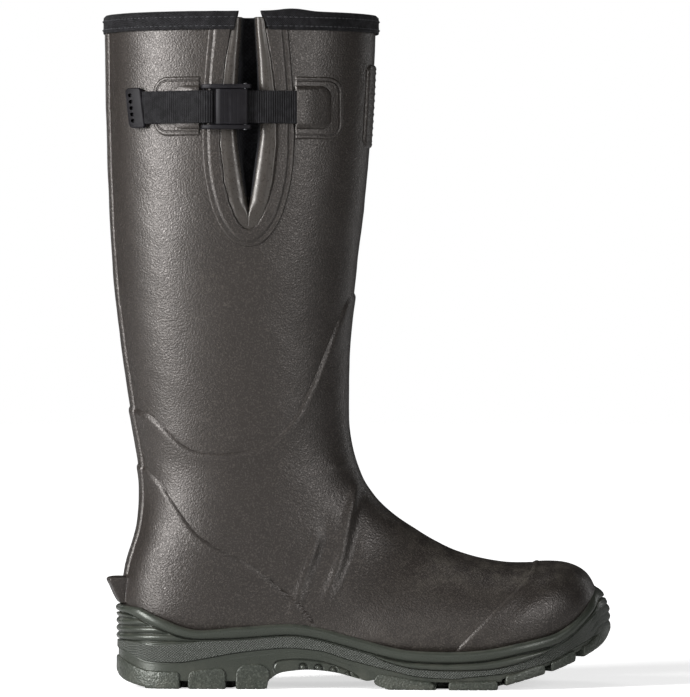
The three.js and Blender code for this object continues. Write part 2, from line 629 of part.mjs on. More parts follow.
const boot = new THREE.Group();
for (const [name, make, surface] of PIECES) {
  const mesh = new THREE.Mesh(geometryOf(make()), new THREE.MeshStandardMaterial(surface));
  mesh.name = name;
  boot.add(mesh);
}

// The origin goes to the middle of the underside of the whole boot.
const extent = new THREE.Box3().setFromObject(boot);
const middle = extent.getCenter(new THREE.Vector3());
boot.position.set(-middle.x, -middle.y, -extent.min.z);

export default boot;
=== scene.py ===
"""Builds the looks of an insulated knee-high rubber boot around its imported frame.

Lengths in the make functions are millimetres in the boot's design frame: +X to the toe, -Y to the
outer side of the leg, +Z up. piece() turns them into metres in the row frame.
"""
import math

import bmesh
import bpy
import numpy as np
from bpy.props import FloatProperty, FloatVectorProperty, IntProperty, PointerProperty
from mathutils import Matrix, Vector


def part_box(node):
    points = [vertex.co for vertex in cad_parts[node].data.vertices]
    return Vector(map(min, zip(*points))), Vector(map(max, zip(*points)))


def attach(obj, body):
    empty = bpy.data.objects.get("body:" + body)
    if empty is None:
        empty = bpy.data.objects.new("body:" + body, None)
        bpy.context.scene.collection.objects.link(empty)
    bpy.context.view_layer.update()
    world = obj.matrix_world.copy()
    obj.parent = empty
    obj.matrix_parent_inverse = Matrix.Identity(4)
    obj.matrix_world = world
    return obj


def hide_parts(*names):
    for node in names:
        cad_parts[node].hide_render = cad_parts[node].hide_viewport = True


bl_info = {
    "name": "Rubber Boot Maker",
    "version": (1, 0, 0),
    "blender": (4, 5, 0),
    "location": "View3D > Sidebar > Boot",
    "description": "Makes a lined rubber boot with a gusset, a strap and a lugged sole",
    "category": "Add Mesh",
}

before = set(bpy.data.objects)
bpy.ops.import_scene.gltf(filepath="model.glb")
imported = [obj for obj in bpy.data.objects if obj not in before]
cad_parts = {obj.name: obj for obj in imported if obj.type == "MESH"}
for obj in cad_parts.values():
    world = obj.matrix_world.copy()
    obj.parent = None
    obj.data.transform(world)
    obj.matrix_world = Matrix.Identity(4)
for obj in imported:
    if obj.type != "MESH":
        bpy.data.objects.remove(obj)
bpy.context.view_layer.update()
MM = 0.001

# ------------------------------------------------------------------ the boot's shape

# [front x, front z, back x, back z, half width, centre y, widest place, front power, back power]
SECTIONS = np.array([
    [11.6, 413, -155.8, 413, 57, 0, 0.5, 2.1, 2.1],
    [9.4, 362, -155, 362, 57.5, 0, 0.5, 2.1, 2.1],
    [5.8, 312, -153.6, 312, 57, 0, 0.5, 2.1, 2.1],
    [0, 262, -151, 262, 55, 0, 0.5, 2.1, 2.1],
    [-5, 212, -145.8, 212, 50.5, 0, 0.5, 2.1, 2.1],
    [-6, 170, -139, 166, 45.5, 0, 0.5, 2.15, 2.15],
    [-3.8, 148, -133.2, 128, 42, 0, 0.52, 2.2, 2.2],
    [1.7, 130.5, -134.6, 100, 41, 0, 0.55, 2.25, 2.3],
    [8.8, 118.8, -141.6, 74, 40.5, 0, 0.58, 2.3, 2.4],
    [16.3, 110.5, -144, 52, 40, 0, 0.6, 2.35, 2.5],
    [25.4, 103, -140, 36, 39.5, 0, 0.64, 2.35, 2.6],
    [35.5, 96.4, -120, 27, 39, 0, 0.68, 2.3, 2.8],
    [46.6, 89.6, -85, 25.5, 39, 0, 0.7, 2.25, 2.9],
    [60, 83.2, -45, 24, 40.5, -0.5, 0.71, 2.2, 3],
    [75, 78.7, 0, 19.5, 44, -2.5, 0.72, 2.2, 3],
    [92, 75.8, 40, 15.5, 48.5, -1.5, 0.72, 2.2, 3],
    [110, 75.6, 78, 14.8, 50, 0.5, 0.7, 2.2, 2.9],
    [128, 75, 108, 18.5, 44.5, 2.6, 0.66, 2.2, 2.7],
    [139.6, 70, 131, 27.5, 34.5, 5, 0.6, 2.2, 2.5],
    [145.6, 61, 143, 40, 19, 6.5, 0.5, 2.1, 2.2],
    [148, 50, 148, 49.6, 0.5, 7, 0.5, 2, 2],
])

# Edges of the overlays as seen from the side, [x, z], and how far they stand up.
FOOT_OVERLAY_EDGE = [
    (30, 262), (-3, 243), (-12, 227), (-21, 205), (-30, 184), (-42, 163), (-56, 151), (-76, 145.5),
    (-96, 145.5), (-108, 151), (-121, 163), (-133, 171), (-170, 182),
]
HEEL_COUNTER_EDGE = [
    (-170, 148), (-134, 138), (-127, 133), (-119, 124.5), (-113, 115.5), (-100, 97.5), (-90, 89.5),
    (-80, 83.7), (-65, 76.5), (-44, 59.5), (-30, 46), (-16, 20),
]
TOE_CAP_EDGE = [
    (52, 12), (60, 25), (66.9, 32.3), (75.6, 40.8), (83.2, 48.8), (90.6, 55.8), (98.1, 63.2), (106, 72),
    (112, 84), (116, 96),
]
FOOT_LAP = 0.85
HEEL_LAP = 0.75
TOE_LAP = 0.7
RUBBER = 2.0
SOCK_FACE = -2.3
LINING_FACE = -6.8
GIRTH = 440.0  # length round the collar

# Soft ridges on the instep, as seen from the side: points, height and half width.
CREASES = [
    ([(4, 134), (-1.6, 122), (-7, 98), (-10.8, 79), (-20, 54.6), (-25, 44)], 1.7, 3.0),
    ([(-22, 98), (-24.9, 91.3), (-35.3, 60.7), (-41.5, 42.3)], 1.3, 2.4),
    ([(-33.5, 58.9), (-29, 51), (-24.3, 44.2)], 0.6, 1.0),
    ([(-20, 112), (-20.5, 92), (-24, 66)], -0.6, 3.6),
    ([(2, 146), (-6, 139), (-20, 133)], 0.5, 2.6),
]
TOE_TROUGH = [(60, 20), (70, 30), (86, 46), (100, 60), (108, 70)]

# The gusset's opening and its border, as [z, half width] about an upright line at OPENING_X.
OPENING_X = -66.8
OPENING_HALF = [
    (281.5, 0), (282.4, 3), (285, 5.8), (290, 8.6), (298, 11.8), (310, 14.8), (333, 17.4), (360, 16.8),
    (385, 13.9), (402, 10.8), (412, 9.4),
]
BORDER_HALF = [
    (270.5, 0), (271.6, 6), (276.5, 12.6), (286, 19), (300, 24), (320, 27.6), (345, 28.4), (375, 27),
    (403.4, 24.5), (404.6, 24.4),
]

# The sole in plan: the outer and inner edges from the heel to the toe, and heights along it.
SOLE_OUTER = [
    (-149, 0), (-143.5, -22), (-124, -37.5), (-88, -42), (-45, -43), (0, -46.5), (40, -53), (74, -55),
    (106, -49.5), (133, -34.5), (150.5, -13), (157, 9),
]
SOLE_INNER = [
    (-149, 0), (-143.5, 22), (-124, 37), (-88, 41), (-45, 40.5), (-5, 42), (34, 47), (72, 54),
    (106, 53.5), (136, 43.5), (153, 27), (157, 9),
]
RIM_LINE = [
    (-150, 51.2), (-145, 51), (-129, 48.8), (-119, 43.2), (-107, 38.3), (-95, 36.5), (-75, 38.4),
    (-54, 40.8), (-38, 41.4), (-21, 39.4), (0, 34.6), (22, 29.4), (41, 26.4), (62, 24.9), (84, 27),
    (105, 31.8), (126, 39.2), (137, 46.6), (145, 54.8), (150, 61), (154.6, 61.6), (157.5, 61.8),
]
# The groove under the sole's bead, the textured band, and the groove floor between the lugs.
BEAD_GROOVE = [
    (-150, 46.6), (-145, 46), (-139, 44.6), (-125, 38.1), (-111, 32.7), (-103, 30.9), (-93, 30.5),
    (-71, 31.3), (-48, 33), (-35, 32.7), (-21, 30.2), (-6, 26.2), (7, 22.6), (23, 18.6), (37, 17),
    (57, 16.5), (78, 17.8), (96, 21.1), (119, 26.3), (130, 31.9), (137, 37.8), (145, 46), (151, 53),
    (157.5, 55),
]
BAND_TOP = [
    (-150, 29), (-137, 28.7), (-125, 27), (-110, 28), (-99, 29.1), (-90, 29.7), (-71, 30.4), (-48, 32.1),
    (-35, 31.8), (-21, 29.3), (-6, 25.3), (7, 21.6), (16, 17.6), (30, 13.6), (44, 12.2), (59, 11.8),
    (81, 12.6), (96, 15.5), (111, 20.7), (119, 25), (130, 31), (137, 37), (145, 44), (151, 48.8),
    (157.5, 50.6),
]
BAND_LOW = [
    (-150, 24.4), (-144, 23.3), (-137, 20), (-129, 17.2), (-110, 16.5), (-96, 18.6), (-74, 22.6), (-48, 25.4),
    (-35, 25.1), (-21, 23.4), (-6, 18.6), (8, 15), (23, 11.4), (37, 8.4), (57, 7.2), (67, 8.1), (89, 10.4),
    (104, 13.3), (119, 17.8), (133, 25.2), (148, 32.6), (157.5, 37.8),
]
GROUND_LINE = [
    (-150, 12), (-148, 8), (-144, 4.8), (-138, 2.6), (-131, 0.9), (-124, 0), (-61, 0), (-57, 2), (-53, 6.6),
    (-47.7, 10), (-38, 11.6), (-28, 12), (-13.5, 10.4), (-3.5, 7.8), (8, 4.4), (13.5, 1.8), (18, 0.4), (24, 0),
    (82, 0), (88, 1.7), (93, 3.4), (104, 6.4), (120, 11.2), (135, 17.2), (147, 23.2), (153, 28), (157.5, 35),
]
GROOVE_DEPTH = 5.0
# Lugs along each side: [from x, top there, to x, top there], and how round their top corners are.
SIDE_LUGS = [
    (-151, 19.5, -109, 10.6, 2.2), (-104.4, 11.4, -80.6, 13.4, 4.4), (-75, 15.4, -53.6, 15.6, 7.0),
    (9.8, 9.8, 48, 4.9, 4.6), (55.3, 5.2, 85.8, 5.9, 1.8), (90.3, 9.3, 114.9, 15.6, 1.8),
    (118.6, 17.2, 134.2, 23.6, 1.4), (138.7, 26, 157.4, 39, 1.4),
]
HEEL_LUG_TOP = [(-149, 19.5), (-146.5, 18.4), (-139, 14.6), (-130.5, 11.5), (-120, 10.9), (-109, 10.6)]
LUG_REACH = 13.0  # how far the side lugs reach under the sole
HEEL_RIDGES = (31.4, 4.6)  # height of the lowest ridge round the heel, and their pitch
# The oval panel in the arch, seen from the side, and its studs as [x, z, radius].
ARCH_PANEL = [
    (-50, 10), (-51.4, 13), (-50, 16.4), (-45, 17.8), (-33, 18.2), (-21, 16.6), (-11, 13.4), (-3, 9.9), (1, 7.2),
]
STUDS = [(-33.4, 13.4, 1.9), (-23.9, 13, 1.8), (-14.9, 11.8, 1.6), (-6, 9.2, 1.2)]

STRAP_Z = 356.0
STRAP_HALF = 10.0
STRAP_THICK = 1.3
BAR = (-93.5, -60.7)
PIN = (-68.4, -65.1)
TAIL_START = -88.2
STRAP_IN_BUCKLE_Y = -62.4

pin_low, pin_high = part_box("lever_pin")
SHIFT = np.array([
    (pin_low.x + pin_high.x) / 2 / MM - PIN[0],
    (pin_low.y + pin_high.y) / 2 / MM - PIN[1],
    0.0,
])


# ------------------------------------------------------------------ curves

def smooth_line(points, count):
    """A smooth open curve (Catmull-Rom) through points, evenly spaced along its length."""
    knots = np.asarray(points, float)
    padded = np.vstack([2 * knots[0] - knots[1], knots, 2 * knots[-1] - knots[-2]])
    t = np.linspace(0, len(knots) - 1, 24 * len(knots))
    i = np.minimum(t.astype(int), len(knots) - 2)
    f = (t - i)[:, None]
    a, b, c, d = (padded[i + k] for k in range(4))
    fine = b + 0.5 * f * (c - a + f * (2 * a - 5 * b + 4 * c - d + f * (3 * (b - c) + d - a)))
    length = np.concatenate([[0], np.cumsum(np.linalg.norm(np.diff(fine, axis=0), axis=1))])
    at = np.linspace(0, length[-1], count)
    return np.stack([np.interp(at, length, fine[:, k]) for k in range(fine.shape[1])], axis=1)


def height_at(line, x):
    """The height of a smooth line of [x, z] points at each x."""
    curve = smooth_line(line, 400)
    return np.interp(x, curve[:, 0], curve[:, 1])


def ground_height(x):
    """Height of the tread's lowest face at x, never under the floor."""
    return np.maximum(height_at(GROUND_LINE, x), 0.0)


def smoothstep(low, high, value):
    """0 at low, 1 at high, and an even S curve between them."""
    t = np.clip((value - low) / (high - low), 0, 1)
    return t * t * (3 - 2 * t)


def hump(value, at, width):
    """A round hump, 1 high, where value is at."""
    return np.exp(-(((value - at) / width) ** 2))


def rounded(depth, radius):
    """0 at an edge, rising like a quarter circle to 1 at radius inside it."""
    return np.sqrt(np.clip(1 - np.clip(1 - depth / radius, 0, 1) ** 2, 0, 1))


def distance_to(line, x, z):
    """Distance from points to a polyline, signed positive on the left of its direction of travel,
    with the share of the line's length at the nearest point."""
    best = np.full(x.shape, 1e9)
    signed = np.zeros(x.shape)
    share = np.zeros(x.shape)
    pieces = len(line) - 1
    for k in range(pieces):
        (x0, z0), (x1, z1) = line[k], line[k + 1]
        dx, dz = x1 - x0, z1 - z0
        t = np.clip(((x - x0) * dx + (z - z0) * dz) / (dx * dx + dz * dz), 0, 1)
        away = np.hypot(x - x0 - t * dx, z - z0 - t * dz)
        near = away < best
        side = dx * (z - z0) - dz * (x - x0)
        signed = np.where(near, np.where(side > 0, away, -away), signed)
        share = np.where(near, (k + t) / pieces, share)
        best = np.where(near, away, best)
    return signed, share


def ripple(x, y, z, size):
    """A slow, even undulation between -1 and 1, with waves about size long."""
    k = 2 * math.pi / size
    first = np.sin(k * (0.9 * x + 0.3 * z) + 1.3) * np.sin(k * (0.8 * z - 0.4 * y) + 0.4)
    second = np.sin(k * (1.7 * z + 0.6 * x - 0.5 * y) + 2.1) * np.sin(k * (1.3 * y + 0.9 * x) + 0.7)
    return 0.6 * first + 0.4 * second


# ------------------------------------------------------------------ the upper's surface

def section_rows(place):
    """The values of the section at each place from 0 at the collar to 1 at the toe."""
    last = len(SECTIONS) - 1
    t = np.clip(place, 0, 1) * last
    i = np.minimum(t.astype(int), last - 1)
    f = (t - i)[:, None]
    a, b = SECTIONS[np.maximum(i - 1, 0)], SECTIONS[i]
    c, d = SECTIONS[i + 1], SECTIONS[np.minimum(i + 2, last)]
    return b + 0.5 * f * (c - a + f * (2 * a - 5 * b + 4 * c - d + f * (3 * (b - c) + d - a)))


def upper_grid(places, turns):
    """Points and outward normals of the upper, [place, turn]. Turn 0 is the front, 0.25 the outer
    side and 0.5 the back."""
    rows = section_rows(places)[:, None, :]
    front_x, front_z, back_x, back_z, half, centre, widest, front_power, back_power = np.moveaxis(rows, 2, 0)
    angle = 2 * math.pi * turns[None, :]
    cos, sin = np.cos(angle), np.sin(angle)
    power = np.where(cos > 0, front_power, back_power)
    reach = np.abs(cos) ** (2 / power)
    across = np.where(cos > 0, widest * (1 - reach), widest + (1 - widest) * reach)
    side = np.sign(sin) * np.abs(sin) ** (2 / power)
    x = front_x + (back_x - front_x) * across
    z = front_z + (back_z - front_z) * across
    points = np.stack([x, centre - half * side, z], axis=2)
    step = np.gradient(points, axis=0)
    if abs(turns[-1] + turns[1] - 2 * turns[0] - 1) < 1e-6:
        wrapped = np.concatenate([points[:, -1:], points, points[:, :1]], axis=1)
        turned = wrapped[:, 2:] - wrapped[:, :-2]
    else:
        turned = np.gradient(points, axis=1)
    normals = np.cross(turned, step)
    normals /= np.maximum(np.linalg.norm(normals, axis=2, keepdims=True), 1e-9)
    return points, normals


def even_places(spacing, until=1.0):
    """Places from the collar down, about evenly spaced on the longer of the front and the back."""
    fine = np.linspace(0, until, 3000)
    rows = section_rows(fine)
    front = np.linalg.norm(np.diff(rows[:, 0:2], axis=0), axis=1)
    back = np.linalg.norm(np.diff(rows[:, 2:4], axis=0), axis=1)
    length = np.concatenate([[0], np.cumsum(np.maximum(front, back))])
    count = int(length[-1] / spacing) + 2
    return np.interp(np.linspace(0, length[-1], count), length, fine)


def shaft_points(x, z, height):
    """Points of the shaft's outer side at given x and z, at a height above the face, for the
    level sections of the upper shaft."""
    table = np.linspace(0, 0.25, 400)
    place = np.interp(-np.asarray(z, float), -section_rows(table)[:, 1], table)
    rows = section_rows(place.ravel())
    front_x, back_x, half = (rows[:, k].reshape(place.shape) for k in (0, 2, 4))
    power = rows[:, 7].reshape(place.shape)
    middle, reach = (front_x + back_x) / 2, (front_x - back_x) / 2
    u = np.clip((x - middle) / reach, -0.995, 0.995)
    v = (1 - np.abs(u) ** power) ** (1 / power)
    y = -half * v
    nx = np.sign(u) * np.abs(u) ** (power - 1) / reach
    ny = -(v ** (power - 1)) / half
    norm = np.hypot(nx, ny)
    return np.stack([x + height * nx / norm, y + height * ny / norm, np.broadcast_to(z, x.shape)], axis=-1)


def shaft_turn(x):
    """The turn on the outer side of the collar's section where x is reached."""
    front_x, back_x, power = SECTIONS[0][0], SECTIONS[0][2], SECTIONS[0][7]
    middle, reach = (front_x + back_x) / 2, (front_x - back_x) / 2
    u = (x - middle) / reach
    return math.acos(math.copysign(abs(u) ** (power / 2), u)) / (2 * math.pi)


def lap_heights(x, z):
    """How far each overlay stands above the upper's face, as seen from the side, and how deep
    inside each overlay's edge a point lies."""
    foot, _ = distance_to(smooth_line(FOOT_OVERLAY_EDGE, 70), x, z)
    heel, _ = distance_to(smooth_line(HEEL_COUNTER_EDGE, 60), x, z)
    toe, _ = distance_to(smooth_line(TOE_CAP_EDGE, 50), x, z)
    foot, heel, toe = foot, -heel, -toe

    def lap(inside, height, rise, settle):
        ridge = 0.45 * height * hump(inside, rise, settle)
        return -0.5 + (height + 0.5 + ridge) * smoothstep(-0.6, rise, inside)

    foot_height = lap(foot, FOOT_LAP, 2.2, 4.5)
    heel_height = np.maximum(foot_height, 0) + lap(heel, HEEL_LAP, 2.0, 5.0)
    toe_height = np.maximum(foot_height, 0) + lap(toe, TOE_LAP, 2.6, 7.0)
    return (foot_height, heel_height, toe_height), (foot, heel, toe)


def upper_relief(points):
    """The soft creases and the undulation that every layer of the upper shares."""
    x, y, z = (points[..., k] for k in range(3))
    relief = 0.22 * ripple(x, y, z, 62) * smoothstep(400, 330, z) + 0.08 * ripple(x, y, z, 23)
    for line, height, width in CREASES:
        away, share = distance_to(smooth_line(line, 30), x, z)
        fade = smoothstep(0, 0.25, share) * smoothstep(1, 0.7, share)
        sides = smoothstep(8, 24, np.abs(y))
        profile = hump(away, 0, width) - 0.35 * hump(away, 2.2 * width, width)
        relief = relief + height * fade * sides * profile
    trough, share = distance_to(smooth_line(TOE_TROUGH, 40), x, z)
    return relief - 0.55 * hump(trough, -4, 5) * smoothstep(0, 0.3, share)


def top_relief(points, normals):
    """Height of the outermost layer above the upper's face."""
    (foot_h, heel_h, toe_h), _ = lap_heights(points[..., 0], points[..., 2])
    return np.maximum.reduce([np.zeros_like(foot_h), foot_h, heel_h, toe_h]) + upper_relief(points)


# ------------------------------------------------------------------ meshes

def grid_quads(rows, columns, wrap=False):
    """Quads of a grid of rows by columns of points, and joined round in the columns if wrapped."""
    r = np.arange(rows - 1)[:, None]
    c = np.arange(columns if wrap else columns - 1)[None, :]
    after = (c + 1) % columns
    quads = [r * columns + c, (r + 1) * columns + c, (r + 1) * columns + after, r * columns + after]
    return np.stack([np.broadcast_to(q, (rows - 1, c.shape[1])) for q in quads], axis=2).reshape(-1, 4)


def closed_shell(outer, inner, quads):
    """A closed mesh between two equal grids of points, of the quads that are kept."""
    edges = np.concatenate([quads[:, [k, (k + 1) % 4]] for k in range(4)])
    count = outer.shape[0]
    key = edges[:, 0].astype(np.int64) * count + edges[:, 1]
    back = edges[:, 1].astype(np.int64) * count + edges[:, 0]
    rim = edges[~np.isin(key, back)]
    walls = np.stack([rim[:, 1], rim[:, 0], rim[:, 0] + count, rim[:, 1] + count], axis=1)
    faces = np.concatenate([quads, quads[:, ::-1] + count, walls])
    used, index = np.unique(faces, return_inverse=True)
    return np.concatenate([outer, inner])[used], index.reshape(faces.shape)


def grid_shell(outer, inner, keep=None, wrap=False):
    """A closed mesh between two grids of points, of the quads whose corners are all kept."""
    quads = grid_quads(*outer.shape[:2], wrap=wrap)
    if keep is not None:
        quads = quads[keep.reshape(-1)[quads].all(axis=1)]
    return closed_shell(outer.reshape(-1, 3), inner.reshape(-1, 3), quads)


def signed_volume(points, faces):
    """Six times a mesh's volume, which is positive when its faces look outwards."""
    if isinstance(faces, np.ndarray):
        a, b, c, d = (points[faces[:, k]] for k in range(4))
        return float(np.sum(np.cross(a, b) * c) + np.sum(np.cross(a, c) * d))
    total = 0.0
    for face in faces:
        for k in range(1, len(face) - 1):
            total += float(np.dot(np.cross(points[face[0]], points[face[k]]), points[face[k + 1]]))
    return total


def piece(name, points, faces, material, stands_for=(), slot="upper_rubber", body="boot"):
    """A closed mesh, turned outwards, that rides on a body and stands for CAD nodes."""
    points = np.asarray(points, float).reshape(-1, 3)
    if signed_volume(points, faces) < 0:
        faces = faces[:, ::-1] if isinstance(faces, np.ndarray) else [face[::-1] for face in faces]
    mesh = bpy.data.meshes.new(name)
    placed = (points + SHIFT) * MM
    mesh.from_pydata(placed.tolist(), [], faces.tolist() if isinstance(faces, np.ndarray) else faces)
    mesh.validate()
    mesh.polygons.foreach_set("use_smooth", [True] * len(mesh.polygons))
    made = bpy.data.objects.new(name, mesh)
    bpy.context.scene.collection.objects.link(made)
    made.data.materials.append(material_named(material))
    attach(made, body)
    if stands_for:
        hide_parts(*stands_for)
    return made


def join_parts(parts):
    """One list of points and faces from several."""
    points, faces, start = [], [], 0
    for part_points, part_faces in parts:
        part_points = np.asarray(part_points, float).reshape(-1, 3)
        points.append(part_points)
        faces += [[k + start for k in face] for face in part_faces]
        start += len(part_points)
    return np.concatenate(points), faces


def ring_loft(rings):
    """Points and faces of a solid through equal rings of points."""
    rings = np.asarray(rings, float)
    count, size = rings.shape[:2]
    faces = grid_quads(count, size, wrap=True).tolist()
    faces.append(list(range(size)))
    faces.append(list(range((count - 1) * size, count * size))[::-1])
    return rings.reshape(-1, 3), faces


def slab(outline, low, high, bevel, cutters=()):
    """Points and faces of an outline [x, y] made solid between two heights, with rounded edges and
    the cutters' solids taken out. A cutter is its own points and faces."""
    def object_of(points, faces, edge=0.0):
        mesh = bpy.data.meshes.new("scratch")
        mesh.from_pydata(np.asarray(points, float).tolist(), [], faces)
        build = bmesh.new()
        build.from_mesh(mesh)
        bmesh.ops.recalc_face_normals(build, faces=build.faces)
        if edge:
            sharp = [e for e in build.edges if e.calc_face_angle(0) > math.radians(40)]
            bmesh.ops.bevel(build, geom=sharp, offset=edge, segments=3, profile=0.5, affect="EDGES")
        build.to_mesh(mesh)
        build.free()
        made = bpy.data.objects.new("scratch", mesh)
        bpy.context.scene.collection.objects.link(made)
        return made

    count = len(outline)
    points = [(x, y, low) for x, y in outline] + [(x, y, high) for x, y in outline]
    sides = [[k, (k + 1) % count, (k + 1) % count + count, k + count] for k in range(count)]
    body = object_of(points, sides + [list(range(count))[::-1], list(range(count, 2 * count))], bevel)
    tools = [object_of(*cutter) for cutter in cutters]
    for tool in tools:
        cut = body.modifiers.new("cut", "BOOLEAN")
        cut.operation = "DIFFERENCE"
        cut.solver = "EXACT"
        cut.object = tool
    shaped = body.evaluated_get(bpy.context.evaluated_depsgraph_get()).to_mesh()
    points = np.array([tuple(vertex.co) for vertex in shaped.vertices])
    faces = [list(polygon.vertices) for polygon in shaped.polygons]
    for scratch in [body, *tools]:
        bpy.data.objects.remove(scratch)
    return points, faces


def round_solid(centre, radius, low, high, sides=24):
    """Points and faces of an upright round bar."""
    turn = np.linspace(0, 2 * math.pi, sides, endpoint=False)
    ring = np.stack([centre[0] + radius * np.cos(turn), centre[1] + radius * np.sin(turn)], axis=1)
    rings = [np.column_stack([ring, np.full(sides, z)]) for z in (low, high)]
    return ring_loft(rings)


# ------------------------------------------------------------------ materials

class Graph:
    """A short way to add and link nodes in a tree."""

    def __init__(self, tree):
        self.tree = tree
        tree.nodes.clear()

    def node(self, kind, inputs=None, **settings):
        made = self.tree.nodes.new(kind)
        for key, value in settings.items():
            setattr(made, key, value)
        for key, value in (inputs or {}).items():
            target = made.inputs[key]
            if isinstance(value, bpy.types.NodeSocket):
                self.link(value, target)
            else:
                target.default_value = value
        return made

    def link(self, source, target):
        self.tree.links.new(source, target)

    def shared(self, name, inputs):
        """A node that runs one of the shared groups."""
        return self.node("ShaderNodeGroup", inputs, node_tree=bpy.data.node_groups[name])

    def raise_surface(self, shader, height, strength, distance):
        """Bumps the shader's surface by a height."""
        inputs = {"Strength": strength, "Distance": distance, "Height": height}
        self.link(self.node("ShaderNodeBump", inputs).outputs[0], shader.inputs["Normal"])

    def math(self, operation, a, b=0.0, c=0.0, clamp=False):
        made = self.node("ShaderNodeMath", {0: a, 1: b, 2: c}, operation=operation, use_clamp=clamp)
        return made.outputs[0]

    def mix(self, factor, a, b):
        made = self.node("ShaderNodeMix", {"Factor": factor}, data_type="RGBA")
        for index, value in ((6, a), (7, b)):
            if isinstance(value, bpy.types.NodeSocket):
                self.link(value, made.inputs[index])
            else:
                made.inputs[index].default_value = value
        return made.outputs[2]

    def noise(self, coordinates, size, detail=3.0, roughness=0.5):
        """Noise whose features are about size millimetres across."""
        inputs = {"Vector": coordinates, "Scale": 1000.0 / size, "Detail": detail, "Roughness": roughness}
        return self.node("ShaderNodeTexNoise", inputs).outputs["Fac"]

    def ramp(self, value, low, high):
        """Value stretched so that low gives 0 and high gives 1, smoothly and held there."""
        inputs = {"Value": value, "From Min": low, "From Max": high}
        made = self.node("ShaderNodeMapRange", inputs, interpolation_type="SMOOTHSTEP")
        return made.outputs["Result"]


def new_group(name, inputs, outputs):
    """An empty node group with named sockets, as its graph, its input node and its output node."""
    group = bpy.data.node_groups.new(name, "ShaderNodeTree")
    for socket_name, kind, default in inputs:
        made = group.interface.new_socket(socket_name, in_out="INPUT", socket_type=kind)
        if default is not None:
            made.default_value = default
    for socket_name, kind in outputs:
        group.interface.new_socket(socket_name, in_out="OUTPUT", socket_type=kind)
    graph = Graph(group)
    return group, graph, graph.node("NodeGroupInput"), graph.node("NodeGroupOutput")


def pebble_group():
    """Pebbled grain as moulded in rubber: a height, and a mask of its high spots for speckle and painted glints.
    """
    group, g, inside, out = new_group(
        "pebble_grain",
        [("Vector", "NodeSocketVector", None), ("Size", "NodeSocketFloat", 1.0),
         ("Wrinkle", "NodeSocketFloat", 0.0)],
        [("Height", "NodeSocketFloat"), ("Speckle Glint", "NodeSocketFloat")],
    )
    scale = g.math("DIVIDE", 1000.0, inside.outputs["Size"])
    coarse = g.math("MULTIPLY", scale, 0.4)
    warp = g.node("ShaderNodeTexNoise", {"Vector": inside.outputs["Vector"], "Scale": coarse})
    shifted = g.node(
        "ShaderNodeVectorMath",
        {0: warp.outputs["Color"], 1: (0.0006, 0.0006, 0.0006), 2: inside.outputs["Vector"]},
        operation="MULTIPLY_ADD",
    )
    moved = shifted.outputs[0]
    cells = g.node("ShaderNodeTexVoronoi", {"Vector": moved, "Scale": scale}, feature="SMOOTH_F1")
    fine = g.node("ShaderNodeTexNoise", {"Vector": inside.outputs["Vector"], "Scale": scale, "Detail": 4.0})
    broad = g.math("MULTIPLY", scale, 0.55)
    folds = g.node(
        "ShaderNodeTexNoise", {"Vector": moved, "Scale": broad, "Detail": 2.0, "Distortion": 0.8}
    )
    folded = g.math("ABSOLUTE", g.math("SUBTRACT", folds.outputs["Fac"], 0.5))
    pebble = g.math("SUBTRACT", g.math("MULTIPLY", fine.outputs["Fac"], 0.6), cells.outputs["Distance"])
    wrinkled = g.math("MULTIPLY", folded, inside.outputs["Wrinkle"])
    height = g.math("ADD", pebble, g.math("MULTIPLY", wrinkled, 3.0))
    g.link(height, out.inputs["Height"])
    # High spots of the grain: the materials lighten them, partly as speckle in the rubber and partly as a
    # painted glint.
    g.link(g.ramp(fine.outputs["Fac"], 0.5, 0.64), out.inputs["Speckle Glint"])
    return group


def wear_and_shade_group():
    """Masks of edges that stand proud, of hollows where shade is painted, of dust that settles low and on
    faces that look up, and of a slow clouding."""
    group, g, inside, out = new_group(
        "wear_dust_and_shade",
        [("Vector", "NodeSocketVector", None), ("Dust Height", "NodeSocketFloat", 0.05)],
        [("Edge", "NodeSocketFloat"), ("Cavity Shade", "NodeSocketFloat"), ("Dust", "NodeSocketFloat"),
         ("Cloud", "NodeSocketFloat")],
    )
    shape = g.node("ShaderNodeNewGeometry")
    patchy = g.noise(inside.outputs["Vector"], 9.0, 5.0, 0.6)
    pointed = shape.outputs["Pointiness"]
    edge = g.math("MULTIPLY", g.ramp(pointed, 0.505, 0.56), g.ramp(patchy, 0.3, 0.7))
    up = g.node("ShaderNodeSeparateXYZ", {0: shape.outputs["Normal"]}).outputs["Z"]
    height = g.node("ShaderNodeSeparateXYZ", {0: inside.outputs["Vector"]}).outputs["Z"]
    low = g.math("SUBTRACT", 1.0, g.math("DIVIDE", height, inside.outputs["Dust Height"]), clamp=True)
    settled = g.math("ADD", low, g.ramp(up, 0.3, 1.0), clamp=True)
    dust = g.math("MULTIPLY", settled, g.ramp(patchy, 0.35, 0.75))
    g.link(edge, out.inputs["Edge"])
    # Concave places, darkened in the rubber as painted shade.
    g.link(g.ramp(pointed, 0.495, 0.44), out.inputs["Cavity Shade"])
    g.link(dust, out.inputs["Dust"])
    g.link(g.noise(inside.outputs["Vector"], 60.0, 3.0, 0.5), out.inputs["Cloud"])
    return group


